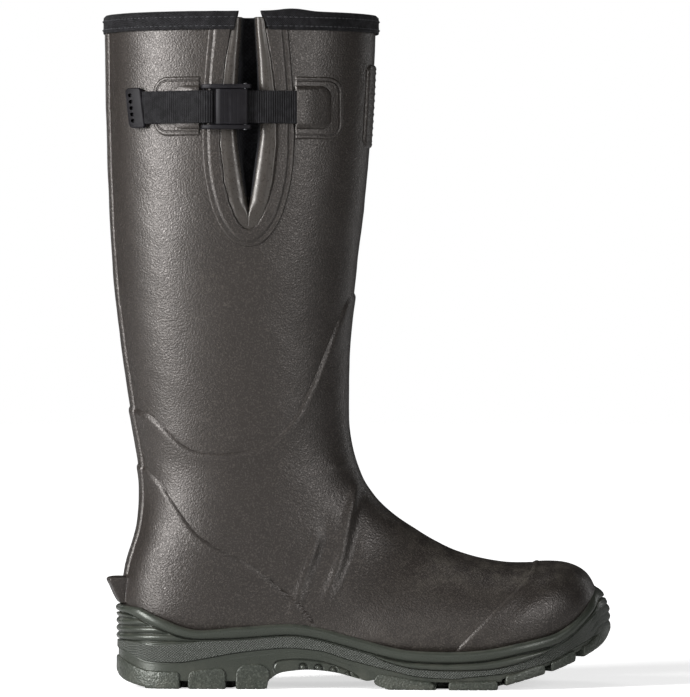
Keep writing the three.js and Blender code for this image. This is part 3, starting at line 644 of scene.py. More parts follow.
def weave_group():
    """Plain weave of a textile: a height, and a mask for its raised threads."""
    group, g, inside, out = new_group(
        "thread_weave",
        [("Vector", "NodeSocketVector", None), ("Thread", "NodeSocketFloat", 0.6)],
        [("Height", "NodeSocketFloat"), ("Thread Mask", "NodeSocketFloat")],
    )
    parts = g.node("ShaderNodeSeparateXYZ", {0: inside.outputs["Vector"]})
    turns = g.math("DIVIDE", 1000.0 * math.pi, inside.outputs["Thread"])
    along = g.math("ADD", parts.outputs["X"], parts.outputs["Y"])
    waves = [g.math("SINE", g.math("MULTIPLY", value, turns)) for value in (along, parts.outputs["Z"])]
    crossed = g.math("MULTIPLY", *waves)
    fuzz = g.noise(inside.outputs["Vector"], 0.5, 3.0, 0.6)
    height = g.math("ADD", g.math("MULTIPLY", crossed, 0.5), fuzz)
    g.link(height, out.inputs["Height"])
    g.link(g.ramp(height, 0.3, 1.0), out.inputs["Thread Mask"])
    return group


RUBBER_SPECULAR = 0.42
DULL_SPECULAR = 0.12
DUST_COLOUR = (0.22, 0.2, 0.16)
WRINKLES_AT = (-0.088, -0.035, 0.068)  # the ankle's outer side, in metres


def colour(rgb):
    return (*rgb, 1.0)


def surface(name, base, roughness, specular=0.5, sheen=0.0):
    """A material with its Principled shader, ready for its own links."""
    material = bpy.data.materials.new(name)
    material.use_nodes = True
    g = Graph(material.node_tree)
    shader = g.node("ShaderNodeBsdfPrincipled", {"Roughness": roughness, "Specular IOR Level": specular})
    shader.inputs["Sheen Weight"].default_value = sheen
    shader.inputs["Base Color"].default_value = colour(base)
    g.node("ShaderNodeOutputMaterial", {"Surface": shader.outputs[0]})
    return material, g, shader, g.node("ShaderNodeTexCoord").outputs["Object"]


def rubber_material(
    name, base, light, size, roughness, bump, wrinkle=False, dust=0.05, edge=0.2, speckle_glint=0.35
):
    """Moulded rubber: pebbled grain with painted glints, clouded colour, worn edges, painted shade in hollows, a
    little dust.
    """
    material, g, shader, place = surface(name, base, roughness, RUBBER_SPECULAR)
    tint = [0.72 + 0.28 * c / max(base) for c in base]
    shader.inputs["Specular Tint"].default_value = colour(tint)
    wrinkling = 0.0
    if wrinkle:
        inputs = {0: place, 1: WRINKLES_AT}
        away = g.node("ShaderNodeVectorMath", inputs, operation="DISTANCE").outputs["Value"]
        wrinkling = g.ramp(away, 0.075, 0.02)
    grain = g.shared("pebble_grain", {"Vector": place, "Size": size, "Wrinkle": wrinkling})
    wear = g.shared("wear_dust_and_shade", {"Vector": place, "Dust Height": dust})
    clouds = g.ramp(wear.outputs["Cloud"], 0.35, 0.65)
    tone = g.mix(clouds, colour([c * 0.86 for c in base]), colour(base))
    # Painted glint: the grain's high spots are lightened towards the light colour, partly real speckle in the
    # rubber.
    tone = g.mix(g.math("MULTIPLY", grain.outputs["Speckle Glint"], speckle_glint), tone, colour(light))
    tone = g.mix(g.math("MULTIPLY", wear.outputs["Edge"], edge), tone, colour(light))
    # Painted shade: creases, grooves and other hollows darkened towards a near-black copy of the base colour.
    dark = colour([c * 0.15 for c in base])
    tone = g.mix(g.math("MULTIPLY", wear.outputs["Cavity Shade"], 0.75), tone, dark)
    tone = g.mix(g.math("MULTIPLY", wear.outputs["Dust"], 0.12), tone, colour(DUST_COLOUR))
    g.link(tone, shader.inputs["Base Color"])
    polished = g.math("MULTIPLY_ADD", grain.outputs["Speckle Glint"], -0.12, roughness)
    dulled = g.math("MULTIPLY", wear.outputs["Dust"], 0.1)
    g.link(g.math("ADD", polished, dulled), shader.inputs["Roughness"])
    g.raise_surface(shader, grain.outputs["Height"], bump, 0.0006)
    return material


def textile_material(name, base, light, thread, roughness, bump):
    """Woven or knitted textile with lighter worn threads."""
    material, g, shader, place = surface(name, base, roughness, DULL_SPECULAR, sheen=0.02)
    shader.inputs["Sheen Roughness"].default_value = 0.5
    weave = g.shared("thread_weave", {"Vector": place, "Thread": thread})
    patchy = g.ramp(g.noise(place, 4.0, 4.0, 0.6), 0.35, 0.7)
    tone = g.math("MULTIPLY", g.math("ADD", weave.outputs["Thread Mask"], patchy), 0.4, clamp=True)
    g.link(g.mix(tone, colour(base), colour(light)), shader.inputs["Base Color"])
    g.link(g.math("MULTIPLY_ADD", patchy, -0.1, roughness), shader.inputs["Roughness"])
    g.raise_surface(shader, weave.outputs["Height"], bump, 0.0003)
    return material


def knurled_material(name, base, light, thread):
    """Sole rubber with a fine diamond knurl."""
    material, g, shader, place = surface(name, base, 0.55)
    weave = g.shared("thread_weave", {"Vector": place, "Thread": thread})
    tone = g.math("MULTIPLY", weave.outputs["Thread Mask"], 0.9)
    g.link(g.mix(tone, colour([c * 0.8 for c in base]), colour(light)), shader.inputs["Base Color"])
    g.link(g.math("MULTIPLY_ADD", tone, -0.2, 0.6), shader.inputs["Roughness"])
    g.raise_surface(shader, weave.outputs["Height"], 1.0, 0.0005)
    return material


def plastic_material(name, base, light, roughness, metallic=0.0):
    """Moulded plastic or dark steel with fine handling scratches and a faint mould texture."""
    material, g, shader, place = surface(name, base, roughness, DULL_SPECULAR)
    shader.inputs["Metallic"].default_value = metallic
    inputs = {"Vector": place, "Scale": (1.0, 1.0, 9.0)}
    stretched = g.node("ShaderNodeMapping", inputs, vector_type="POINT").outputs[0]
    scratches = g.ramp(g.noise(stretched, 2.2, 6.0, 0.7), 0.56, 0.72)
    edge = g.math("MULTIPLY", g.shared("wear_dust_and_shade", {"Vector": place}).outputs["Edge"], 0.5)
    worn = g.math("ADD", g.math("MULTIPLY", scratches, 0.2), edge, clamp=True)
    g.link(g.mix(worn, colour(base), colour(light)), shader.inputs["Base Color"])
    g.link(g.math("MULTIPLY_ADD", scratches, 0.15, roughness), shader.inputs["Roughness"])
    height = g.math("ADD", g.noise(place, 0.45, 2.0), g.math("MULTIPLY", scratches, -0.6))
    g.raise_surface(shader, height, 0.22, 0.0001)
    return material


def material_named(name):
    return bpy.data.materials[name]


# ------------------------------------------------------------------ settings

class BootSizes(bpy.types.PropertyGroup):
    """Sizes that change the surface detail of the boot."""

    cell: FloatProperty(
        name="Cell", description="Spacing of the upper's mesh in millimetres", default=1.5, min=0.6,
    )
    rib_pitch: FloatProperty(
        name="Rib pitch", description="Spacing of the webbing's ribs in millimetres", default=1.42,
    )
    rib_height: FloatProperty(
        name="Rib height", description="Height of the webbing's ribs in millimetres", default=0.23,
    )
    stitch: FloatProperty(
        name="Stitch", description="Length of a stitch in millimetres", default=2.9,
    )
    knurl: FloatProperty(
        name="Knurl", description="Pitch of the textured band's knurl in millimetres", default=0.78,
    )
    sole_columns: IntProperty(
        name="Sole columns", description="Points along each side of the sole", default=720,
    )


class BootColours(bpy.types.PropertyGroup):
    """Colours of the boot's materials."""

    upper: FloatVectorProperty(
        name="Upper", description="Rubber of the upper", subtype="COLOR",
        default=(0.0125, 0.0102, 0.0088),
    )
    # High spots and worn edges of the upper: partly speckle and wear, partly a painted glint on the grain.
    upper_speckle_glint_and_wear: FloatVectorProperty(
        name="Upper flecks", description="High spots of the upper", subtype="COLOR",
        default=(0.062, 0.054, 0.048),
    )
    gusset: FloatVectorProperty(
        name="Gusset", description="Smooth rubber of the gusset", subtype="COLOR",
        default=(0.026, 0.0225, 0.0195),
    )
    sole: FloatVectorProperty(
        name="Sole", description="Rubber of the sole", subtype="COLOR",
        default=(0.022, 0.025, 0.0198),
    )
    # High spots and worn edges of the sole, and the knurl's raised threads: partly speckle and wear, partly a
    # painted glint on the grain.
    sole_light: FloatVectorProperty(
        name="Sole flecks", description="High spots of the sole", subtype="COLOR",
        default=(0.062, 0.068, 0.057),
    )
    textile: FloatVectorProperty(
        name="Textile", description="Tape and webbing", subtype="COLOR",
        default=(0.0028, 0.0026, 0.003),
    )
    textile_light: FloatVectorProperty(
        name="Worn threads", description="Raised threads", subtype="COLOR",
        default=(0.016, 0.0155, 0.0175),
    )
    plastic: FloatVectorProperty(
        name="Plastic", description="Buckle and end cap", subtype="COLOR",
        default=(0.0035, 0.003, 0.004),
    )
    floor: FloatVectorProperty(
        name="Floor", description="Studio floor", subtype="COLOR",
        default=(0.86, 0.86, 0.86),
    )


def sizes():
    return bpy.context.scene.boot_sizes


def colours():
    return bpy.context.scene.boot_colours


class BOOT_OT_materials(bpy.types.Operator):
    """Make the node groups and the materials of the boot"""

    bl_idname = "boot.materials"
    bl_label = "Boot Materials"

    def execute(self, context):
        pebble_group()
        wear_and_shade_group()
        weave_group()
        c = colours()
        rubber_material(
            "pebbled_rubber", c.upper, c.upper_speckle_glint_and_wear, 1.0, 0.43, 0.32, wrinkle=True, edge=0.1, speckle_glint=0.42
        )
        rubber_material("satin_rubber", c.gusset, (0.06, 0.053, 0.046), 1.6, 0.36, 0.03, dust=0.02, speckle_glint=0.1)
        rubber_material("smooth_sole_rubber", c.sole, c.sole_light, 0.8, 0.38, 0.1, dust=0.02, speckle_glint=0.2)
        rubber_material("rough_sole_rubber", c.sole, c.sole_light, 1.25, 0.42, 0.5, dust=0.012, speckle_glint=0.6)
        rubber_material("pressed_foam", (0.05, 0.05, 0.05), (0.12, 0.12, 0.12), 2.0, 0.9, 0.25)
        knurled_material("knurled_sole_rubber", c.sole, c.sole_light, sizes().knurl)
        textile_material("woven_tape", c.textile, c.textile_light, 0.7, 0.8, 0.8)
        textile_material("ribbed_webbing", c.textile, c.textile_light, 0.55, 0.7, 0.25)
        textile_material("knit_lining", (0.006, 0.006, 0.007), (0.022, 0.022, 0.024), 1.3, 0.95, 0.6)
        textile_material("sewing_thread", (0.02, 0.02, 0.022), (0.07, 0.07, 0.075), 0.5, 0.8, 0.4)
        textile_material("pressed_board", (0.22, 0.16, 0.09), (0.3, 0.23, 0.14), 1.5, 0.9, 0.3)
        plastic_material("moulded_plastic", c.plastic, (0.02, 0.019, 0.022), 0.5)
        plastic_material("dark_steel", (0.06, 0.06, 0.063), (0.2, 0.2, 0.21), 0.4, metallic=0.9)
        return {"FINISHED"}


class BOOT_OT_stage(bpy.types.Operator):
    """Make the floor, the lights and the camera"""

    bl_idname = "boot.stage"
    bl_label = "Studio Stage"

    def execute(self, context):
        scene = context.scene
        scene.view_settings.view_transform = "Standard"
        scene.view_settings.look = "None"
        make_floor()
        make_lights()
        make_camera()
        return {"FINISHED"}


CAMERA_DISTANCE = 3.5
FRAME_WIDTH = 0.4278  # width of the view at the boot, in metres
CAMERA_X = -7.75
CAMERA_Z = 208.75
FLOOR_HALF = 12.0  # in metres
LIGHTS_AIM = (-0.03, 0, 0.2)
# Area lights: name, place and size in metres, power in watts.
LIGHTS = [
    ("key", (-1.75, -1.15, 0.75), 0.5, 1.5, 98),
    ("side", (1.4, -1.7, 0.7), 0.5, 1.0, 22),
    ("fill", (0.0, -2.4, 0.9), 1.0, 0.8, 5),
    ("top", (-0.1, 0.1, 1.9), 1.0, 0.8, 3),
    ("rim", (1.5, 1.3, 0.5), 0.25, 1.4, 3),
    ("back", (-1.0, 1.5, 0.9), 0.25, 1.4, 2),
]


def make_camera():
    data = bpy.data.cameras.new("camera")
    data.sensor_fit = "HORIZONTAL"
    data.sensor_width = 36
    data.lens = data.sensor_width * CAMERA_DISTANCE / FRAME_WIDTH
    data.clip_end = 50
    camera = bpy.data.objects.new("camera", data)
    camera.location = ((CAMERA_X + SHIFT[0]) * MM, -CAMERA_DISTANCE + SHIFT[1] * MM, CAMERA_Z * MM)
    camera.rotation_euler = (math.pi / 2, 0, 0)
    bpy.context.scene.collection.objects.link(camera)
    bpy.context.scene.camera = camera


def make_floor():
    """A pale floor that turns as white as the surround away from the boot."""
    material = bpy.data.materials.new("pale_floor")
    material.use_nodes = True
    g = Graph(material.node_tree)
    shader = g.node("ShaderNodeBsdfPrincipled", {"Base Color": colour(colours().floor), "Roughness": 0.8})
    shader.inputs["Specular IOR Level"].default_value = 0.1
    seen = g.node("ShaderNodeLightPath").outputs["Is Camera Ray"]
    place = g.node("ShaderNodeTexCoord").outputs["Object"]
    away = g.node("ShaderNodeVectorMath", {0: place}, operation="LENGTH").outputs["Value"]
    white = g.math("MULTIPLY_ADD", g.ramp(away, 0.25, 1.4), 0.45, 0.6)
    strength = g.math("MULTIPLY", seen, white)
    glow = g.node("ShaderNodeEmission", {"Color": (1, 1, 1, 1), "Strength": strength})
    both = g.node("ShaderNodeAddShader", {0: shader.outputs[0], 1: glow.outputs[0]})
    g.node("ShaderNodeOutputMaterial", {"Surface": both.outputs[0]})
    mesh = bpy.data.meshes.new("floor")
    corners = [(x * FLOOR_HALF, y * FLOOR_HALF, 0) for x, y in ((-1, -1), (1, -1), (1, 1), (-1, 1))]
    mesh.from_pydata(corners, [], [(0, 1, 2, 3)])
    floor = bpy.data.objects.new("floor", mesh)
    floor.data.materials.append(material)
    bpy.context.scene.collection.objects.link(floor)


def make_lights():
    """A tall soft light from the left, a weaker one from the right, faint ones in front, above and
    behind, and a surround that looks white and lights almost nothing."""
    world = bpy.data.worlds.new("studio")
    bpy.context.scene.world = world
    world.use_nodes = True
    g = Graph(world.node_tree)
    seen = g.node("ShaderNodeLightPath").outputs["Is Camera Ray"]
    strength = g.math("MULTIPLY_ADD", seen, 0.98, 0.02)
    background = g.node("ShaderNodeBackground", {"Color": (1, 1, 1, 1), "Strength": strength})
    g.node("ShaderNodeOutputWorld", {"Surface": background.outputs[0]})
    for name, place, width, height, power in LIGHTS:
        data = bpy.data.lights.new(name, "AREA")
        data.shape = "RECTANGLE"
        data.size = width
        data.size_y = height
        data.energy = power
        light = bpy.data.objects.new(name, data)
        light.location = place
        light.rotation_euler = (Vector(LIGHTS_AIM) - light.location).to_track_quat("-Z", "Y").to_euler()
        bpy.context.scene.collection.objects.link(light)


# ------------------------------------------------------------------ the upper

def upper_layer(name, grid, outer, inner, keep, material, stands_for, slot="upper_rubber"):
    """A closed layer of the upper between two heights, where keep holds on the grid."""
    points, normals = grid
    shell = grid_shell(points + normals * outer[..., None], points + normals * inner[..., None], keep, wrap=True)
    return piece(name, *shell, material, stands_for, slot)


def in_opening(points, wider):
    """Whether points lie in the gusset's opening on the outer side, made wider all round."""
    x, y, z = (points[..., k] for k in range(3))
    line = np.array(OPENING_HALF)
    half = np.interp(z + wider, line[:, 0], line[:, 1], left=-9) + wider
    return (np.abs(x - OPENING_X) < half) & (z > line[0, 0] - wider) & (y < 0)


class BOOT_OT_upper(bpy.types.Operator):
    """Make the rubber upper with its foot overlay, heel counter and toe cap"""

    bl_idname = "boot.upper"
    bl_label = "Rubber Upper"

    def execute(self, context):
        cell = sizes().cell
        turns = np.linspace(0, 1, int(GIRTH / cell), endpoint=False)
        grid = upper_grid(even_places(cell, 0.9999), turns)
        points = grid[0]
        x, z = points[..., 0], points[..., 2]
        relief = upper_relief(points)
        heights, insides = lap_heights(x, z)
        above_sole = z > height_at(RIM_LINE, x) - 16
        covered = smoothstep(0.6, 3, np.maximum.reduce(insides))
        shell = above_sole & ~in_opening(points, 1.6)
        inner = np.full(x.shape, -RUBBER)
        upper_layer("upper_skin", grid, relief - 1.1 * covered, inner, shell, "pebbled_rubber", ["upper_shell"])
        names = ["foot_overlay", "heel_counter", "toe_cap"]
        under = [-0.9 * np.ones_like(x), np.maximum(heights[0], 0) - 0.8, np.maximum(heights[0], 0) - 0.8]
        for node, height, inside, low in zip(names, heights, insides, under):
            keep = above_sole & (inside > -2.6)
            bottom = np.minimum(low, height - 0.25)
            upper_layer(node + "_skin", grid, height + relief, bottom + relief, keep, "pebbled_rubber", [node])
        return {"FINISHED"}


def ring_at(z, turns, height):
    """Points of the upper where it crosses a level, at the given turns, at a height above its face."""
    points, normals = upper_grid(np.linspace(0, 0.62, 900), turns)
    result = []
    for k in range(len(turns)):
        order = np.argsort(points[:, k, 2])
        base = [np.interp(z, points[order, k, 2], points[order, k, axis]) for axis in range(2)]
        away = [np.interp(z, points[order, k, 2], normals[order, k, axis]) for axis in range(2)]
        size = math.hypot(*away)
        lift = height if np.isscalar(height) else height[k]
        result.append((base[0] + lift * away[0] / size, base[1] + lift * away[1] / size, z))
    return np.array(result)


class BOOT_OT_back(bpy.types.Operator):
    """Make the strip down the back seam and the ledge at the heel for pulling the boot off"""

    bl_idname = "boot.back"
    bl_label = "Back Strip and Heel Ledge"

    def execute(self, context):
        self.strip()
        self.ledge()
        return {"FINISHED"}

    def strip(self):
        places = even_places(1.5)
        turns = np.linspace(0.5 - 0.052, 0.5 + 0.052, 45)
        points, normals = upper_grid(places, turns)
        level = points[:, len(turns) // 2, 2]
        rows = (level > 66.5) & (level < 404.2) & (places < 0.6)
        points, normals = points[rows], normals[rows]
        y = np.abs(points[..., 1])
        half = 15.0
        profile = -0.5 + 1.5 * smoothstep(half, half - 1.2, y)
        profile += 0.35 * hump(y, half - 2.4, 0.8) - 0.3 * hump(y, half - 5, 0.6)
        top = top_relief(points, normals)
        outer = points + normals * (top + profile)[..., None]
        inner = points + normals * (top - 0.9)[..., None]
        shell = grid_shell(outer, inner, y < half + 0.6)
        piece("back_strip", *shell, "pebbled_rubber", ["back_seam_strip"])

    def ledge(self):
        turns = np.linspace(0.43, 0.57, 121)
        swell = smoothstep(0.052, 0.045, np.abs(turns - 0.5))
        section = [
            (50.9, -0.6), (51.3, 0.14), (52.6, 0.3), (54.6, 0.42), (57.2, 0.55), (60, 0.68), (62.8, 0.82),
            (65, 0.96), (66.2, 1.0), (66.9, 0.98), (67.3, 0.92), (67.4, 0.8), (67.3, 0.5), (67.4, 0.2),
            (67.8, -0.6),
        ]
        rings = []
        for z, share in section:
            height = 1.6 + swell * 11.0 * share if share > 0 else np.full(len(turns), -0.6)
            rings.append(ring_at(z, turns, height))
        rings = np.array(rings).transpose(1, 0, 2)
        piece("heel_ledge", *ring_loft(rings), "pebbled_rubber", ["kick_spur"])


def rounded_inside(x, z, centre, half, corner):
    """Signed distance inside a rounded rectangle, positive inside."""
    dx = np.abs(x - centre[0]) - half[0] + corner
    dz = np.abs(z - centre[1]) - half[1] + corner
    outside = np.hypot(np.maximum(dx, 0), np.maximum(dz, 0))
    return corner - outside - np.minimum(np.maximum(dx, dz), 0)


class BOOT_OT_badge(bpy.types.Operator):
    """Make the plain ribbed badge on the shin"""

    bl_idname = "boot.badge"
    bl_label = "Shin Badge"

    def execute(self, context):
        turns = np.linspace(-0.085, 0.085, 91)
        places = even_places(0.6, 0.2)
        points, normals = upper_grid(places, turns)
        y, z = points[..., 1], points[..., 2]
        inside = rounded_inside(y, z, (0, 358.5), (20, 25.5), 5)
        rows = np.abs(points[:, len(turns) // 2, 2] - 358.5) < 27.5
        points, normals, inside, z = points[rows], normals[rows], inside[rows], z[rows]
        profile = -0.4 + 1.5 * smoothstep(-0.6, 0.9, inside)
        rim = hump(inside, 2.2, 0.7)
        ribs = 0.35 * np.maximum(np.sin(z * 2 * math.pi / 4.25), 0) * smoothstep(3.4, 4.4, inside)
        outer = points + normals * (profile + 0.35 * rim + ribs)[..., None]
        inner = points + normals * -0.8
        shell = grid_shell(outer, inner, inside > -1.4)
        piece("shin_badge_skin", *shell, "pebbled_rubber", ["shin_badge"])
        return {"FINISHED"}


class BOOT_OT_lining(bpy.types.Operator):
    """Make the knitted face of the insulating sock and the foot bed inside it"""

    bl_idname = "boot.lining"
    bl_label = "Lining and Foot Bed"

    def execute(self, context):
        turns = np.linspace(0, 1, 200, endpoint=False)
        points, normals = upper_grid(even_places(3.0, 0.9999), turns)
        x, y, z = (points[..., k] for k in range(3))
        inner = LINING_FACE + 0.35 + 0.3 * ripple(x, y, z, 38)
        outer = np.full(x.shape, SOCK_FACE)
        outer[0] = -2.6
        outer[:2] -= 0.2
        keep = ~in_opening(points, 1.8)
        made = upper_layer(
            "sock_lining", (points, normals), outer, inner, keep, "knit_lining", ["neoprene_sock"], "neoprene"
        )
        self.foot_bed()
        return {"FINISHED"}

    def foot_bed(self):
        """A foam insole with a raised rim, cupped at the heel."""
        top = [
            (-132, 44.5), (-120, 40), (-85, 38.5), (-45, 38), (0, 33), (40, 28), (78, 27), (108, 31), (131, 40),
        ]
        along = np.linspace(-131, 128, 130)
        across = np.linspace(-1, 1, 49)
        low_y, high_y = sole_edges(along, 400)
        low_y, high_y = low_y + 13.5, high_y - 13.5
        ends = np.sqrt(np.clip(1 - ((along + 1.5) / 131.5) ** 12, 0, 1))
        middle, half = (low_y + high_y) / 2, (high_y - low_y) / 2 * ends
        y = middle[:, None] + half[:, None] * across[None, :]
        x = np.broadcast_to(along[:, None], y.shape)
        z = height_at(top, along)[:, None] - 2.2 + 3.2 * np.abs(across[None, :]) ** 4
        pits = 0.25 * np.cos(x * 2 * math.pi / 5) * np.cos(y * 2 * math.pi / 5)
        shell = grid_shell(np.stack([x, y, z + pits], axis=2), np.stack([x, y, z - 3.5], axis=2))
        made = piece("foot_bed", *shell, "pressed_foam", ["insole"], "foam")


# ------------------------------------------------------------------ collar, gusset and patches

class BOOT_OT_collar(bpy.types.Operator):
    """Make the tape that binds the collar, with its two rows of stitches"""

    bl_idname = "boot.collar"
    bl_label = "Collar Tape"

    def execute(self, context):
        starts = shaft_turn(OPENING_X - 7.4), shaft_turn(OPENING_X + 10.6) + 1
        section = [
            (1.3, 403.3), (1.75, 403.7), (1.85, 405.0), (1.7, 408.5), (1.8, 411.6), (1.5, 413.4), (0.2, 414.6),
            (-3.4, 415.0), (-7.2, 414.4), (-8.4, 412.8), (-8.8, 409), (-8.7, 404.5), (-8.3, 403), (-7.6, 403),
            (-7.3, 412.2), (0.2, 412.9), (0.9, 404),
        ]
        share = np.linspace(0, 1, 620)
        near_gusset = np.exp(-share * 14) + np.exp(-(1 - share) * 14)
        rings = []
        for height, z in section:
            slant = 0.0045 * (z - 408) / 6 * (np.exp(-(1 - share) * 60) - 0.5 * np.exp(-share * 60))
            turns = starts[0] + share * (starts[1] - starts[0]) + slant
            lump = 0.16 * ripple(share * GIRTH, z * 0.3, z * 0.2, 17)
            lump = lump + 0.3 * near_gusset * ripple(share * GIRTH, z, 3, 11)
            rise = 1.6 * hump((share - 1) * GIRTH, -16, 10) * smoothstep(406, 414, z)
            points, normals = upper_grid(np.array([0.0, 0.0005]), turns)
            lift = height + lump * (1 if height > 0 else -0.5)
            ring = points[0] + normals[0] * lift[:, None]
            ring[:, 2] = z + 0.25 * lump + rise
            rings.append(ring)
        rings = np.array(rings).transpose(1, 0, 2)
        piece("collar_tape", *ring_loft(rings), "woven_tape", ["collar_binding"], "tape")
        self.stitches(starts)
        return {"FINISHED"}

    def stitches(self, starts):
        pitch, run = sizes().stitch, 425
        count = int(run / pitch)
        parts = []
        for z, lift in ((411.0, 1.95), (405.6, 1.98)):
            for k in range(count):
                turn = starts[0] + (k + 0.5) / count * (starts[1] - starts[0])
                across = np.array([-1, -0.4, 0.4, 1]) * 0.36 * pitch / run
                points, normals = upper_grid(np.array([0.0, 0.0005]), turn + across)
                path = points[0] + normals[0] * (lift + np.array([-0.25, 0.12, 0.12, -0.25]))[:, None]
                path[:, 2] = z
                parts.append(small_tube(path, [0.16, 0.3, 0.3, 0.16]))
        piece("collar_stitches", *join_parts(parts), "sewing_thread", slot="tape")


def small_tube(path, radii, sides=6):
    """Points and faces of a tube along a nearly level path."""
    turn = np.linspace(0, 2 * math.pi, sides, endpoint=False)
    up = np.array([0, 0, 1])
    rings = []
    for k, (point, radius) in enumerate(zip(path, radii)):
        ahead = path[min(k + 1, len(path) - 1)] - path[max(k - 1, 0)]
        side = np.cross(ahead / np.linalg.norm(ahead), up)
        rings.append(point + radius * (np.cos(turn)[:, None] * side + np.sin(turn)[:, None] * up))
    return ring_loft(rings)


SIDE_POINTS = 46  # points from the gusset's middle to one side of its opening


def both_sides(table):
    """The line down one side of the gusset's opening or border and up the other."""
    right = smooth_line([(OPENING_X + half, height) for height, half in table], 90)
    left = right * (-1, 1) + (2 * OPENING_X, 0)
    return np.concatenate([right[::-1], left[1:]])


class BOOT_OT_gusset(bpy.types.Operator):
    """Make the gusset's folded sheet and the raised border round its opening"""

    bl_idname = "boot.gusset"
    bl_label = "Gusset and Border"

    def execute(self, context):
        self.sheet()
        self.border()
        return {"FINISHED"}

    def sheet(self):
        levels = np.linspace(279.5, 411, 150)
        table = np.array(OPENING_HALF)
        rings = []
        for z in levels:
            half = max(float(np.interp(z, table[:, 0], table[:, 1])) + 0.5, 1.2)
            depth = min(14.5, 1.15 * half)
            slot = 0.015 + 0.34 * min(max((z - 296) / 44, 0.0), 1.0) ** 0.8
            swell = 0.9 * smoothstep(282, 296, z)
            shut = smoothstep(300, 290, z)
            fold = [(-0.1, -0.9), (1.5, -0.7), (4, -0.3), (0.5 * depth, 0), (0.8 * depth, 0.3), (depth, 0.5)]
            fold = [deep * (1 - shut) + shallow * shut * swell for deep, shallow in fold]
            side = [
                (1.04, 2.2), (1.0, 1.2), (0.95, 0.2 - 0.2 * swell), (0.86, -0.35 * swell), (0.76, -0.75 * swell),
                (0.62 + 0.2 * slot, -0.8 * swell), (0.34 + 0.55 * slot, fold[0]), (0.1 + 0.93 * slot, fold[1]),
                (slot + 0.035, fold[2]), (slot, fold[3]), (slot * 0.95, fold[4]), (slot * 0.5 + 0.02, fold[5]),
            ]
            side = smooth_line([(across * half, below) for across, below in side], SIDE_POINTS)
            path = np.concatenate([side * (-1, 1), side[::-1]])
            ahead = np.gradient(path, axis=0)
            ahead /= np.linalg.norm(ahead, axis=1, keepdims=True)
            thick = min(1.5, 0.3 * half)
            back = path + np.stack([-ahead[:, 1], ahead[:, 0]], axis=1) * thick
            face_y = float(shaft_points(np.array([OPENING_X]), np.array([z]), 0.0)[0, 1])
            loop = np.concatenate([path, back[::-1]])
            rings.append(np.column_stack([OPENING_X + loop[:, 0], face_y + loop[:, 1], np.full(len(loop), z)]))
        rings = np.array(rings)
        rings[..., 1] += 0.12 * ripple(rings[..., 0], rings[..., 1], rings[..., 2], 24)
        made = piece("gusset_sheet", *ring_loft(rings), "satin_rubber", ["gusset"], "gusset_rubber")
        # Painted shade: the faces deep in the fold take the near-black knit lining, standing in for the shadow
        # inside the rubber fold.
        made.data.materials.append(material_named("knit_lining"))
        column = np.arange(rings.shape[1])
        middles = SIDE_POINTS - 0.5, 3 * SIDE_POINTS - 0.5
        deep = (np.abs(column - middles[0]) < 22) | (np.abs(column - middles[1]) < 22)
        rows = np.outer(levels[:-1] > 301, deep).astype(int).reshape(-1)
        made.data.polygons.foreach_set("material_index", np.concatenate([rows, [0, 0]]))

    def border(self):
        spans = ((270.6, 281.4, 22), (281.6, 292, 34), (292.6, 404.4, 120))
        levels = np.concatenate([np.linspace(*span) for span in spans])
        opening, edge = np.array(OPENING_HALF), np.array(BORDER_HALF)
        inner = np.maximum(np.interp(levels, opening[:, 0], opening[:, 1], left=0), 0.015)
        outer = np.interp(levels, edge[:, 0], edge[:, 1]) + 0.5
        half = 34
        share = 1 - np.linspace(0, 1, half)
        left = OPENING_X - inner[:, None] - (outer - inner)[:, None] * share
        right = OPENING_X + inner[:, None] + (outer - inner)[:, None] * share[::-1]
        x = np.concatenate([left, right], axis=1)
        z = np.broadcast_to(levels[:, None], x.shape)
        from_edge = -distance_to(both_sides(BORDER_HALF), x, z)[0]
        from_hole = distance_to(both_sides(OPENING_HALF), x, z)[0]
        step = -0.3 + 1.0 * smoothstep(-0.4, 1.0, from_edge)
        groove = -0.4 * hump(from_edge, 3.4, 0.5)
        raised = 0.35 * smoothstep(3.6, 5.4, from_edge)
        lip = -0.9 * (1 - rounded(np.abs(from_hole), 1.4))
        height = step + groove + raised + lip + 0.1 * ripple(x, x * 0, z, 30)
        top = shaft_points(x, z, height).reshape(-1, 3)
        low = shaft_points(x, z, np.full(x.shape, -1.2)).reshape(-1, 3)
        quads = grid_quads(*x.shape)
        row, column = quads[:, 0] // x.shape[1], quads[:, 0] % x.shape[1]
        kept = quads[(column != half - 1) | (levels[row] < 281.3)]
        piece("gusset_rim", *closed_shell(top, low, kept), "pebbled_rubber", ["gusset_border"])


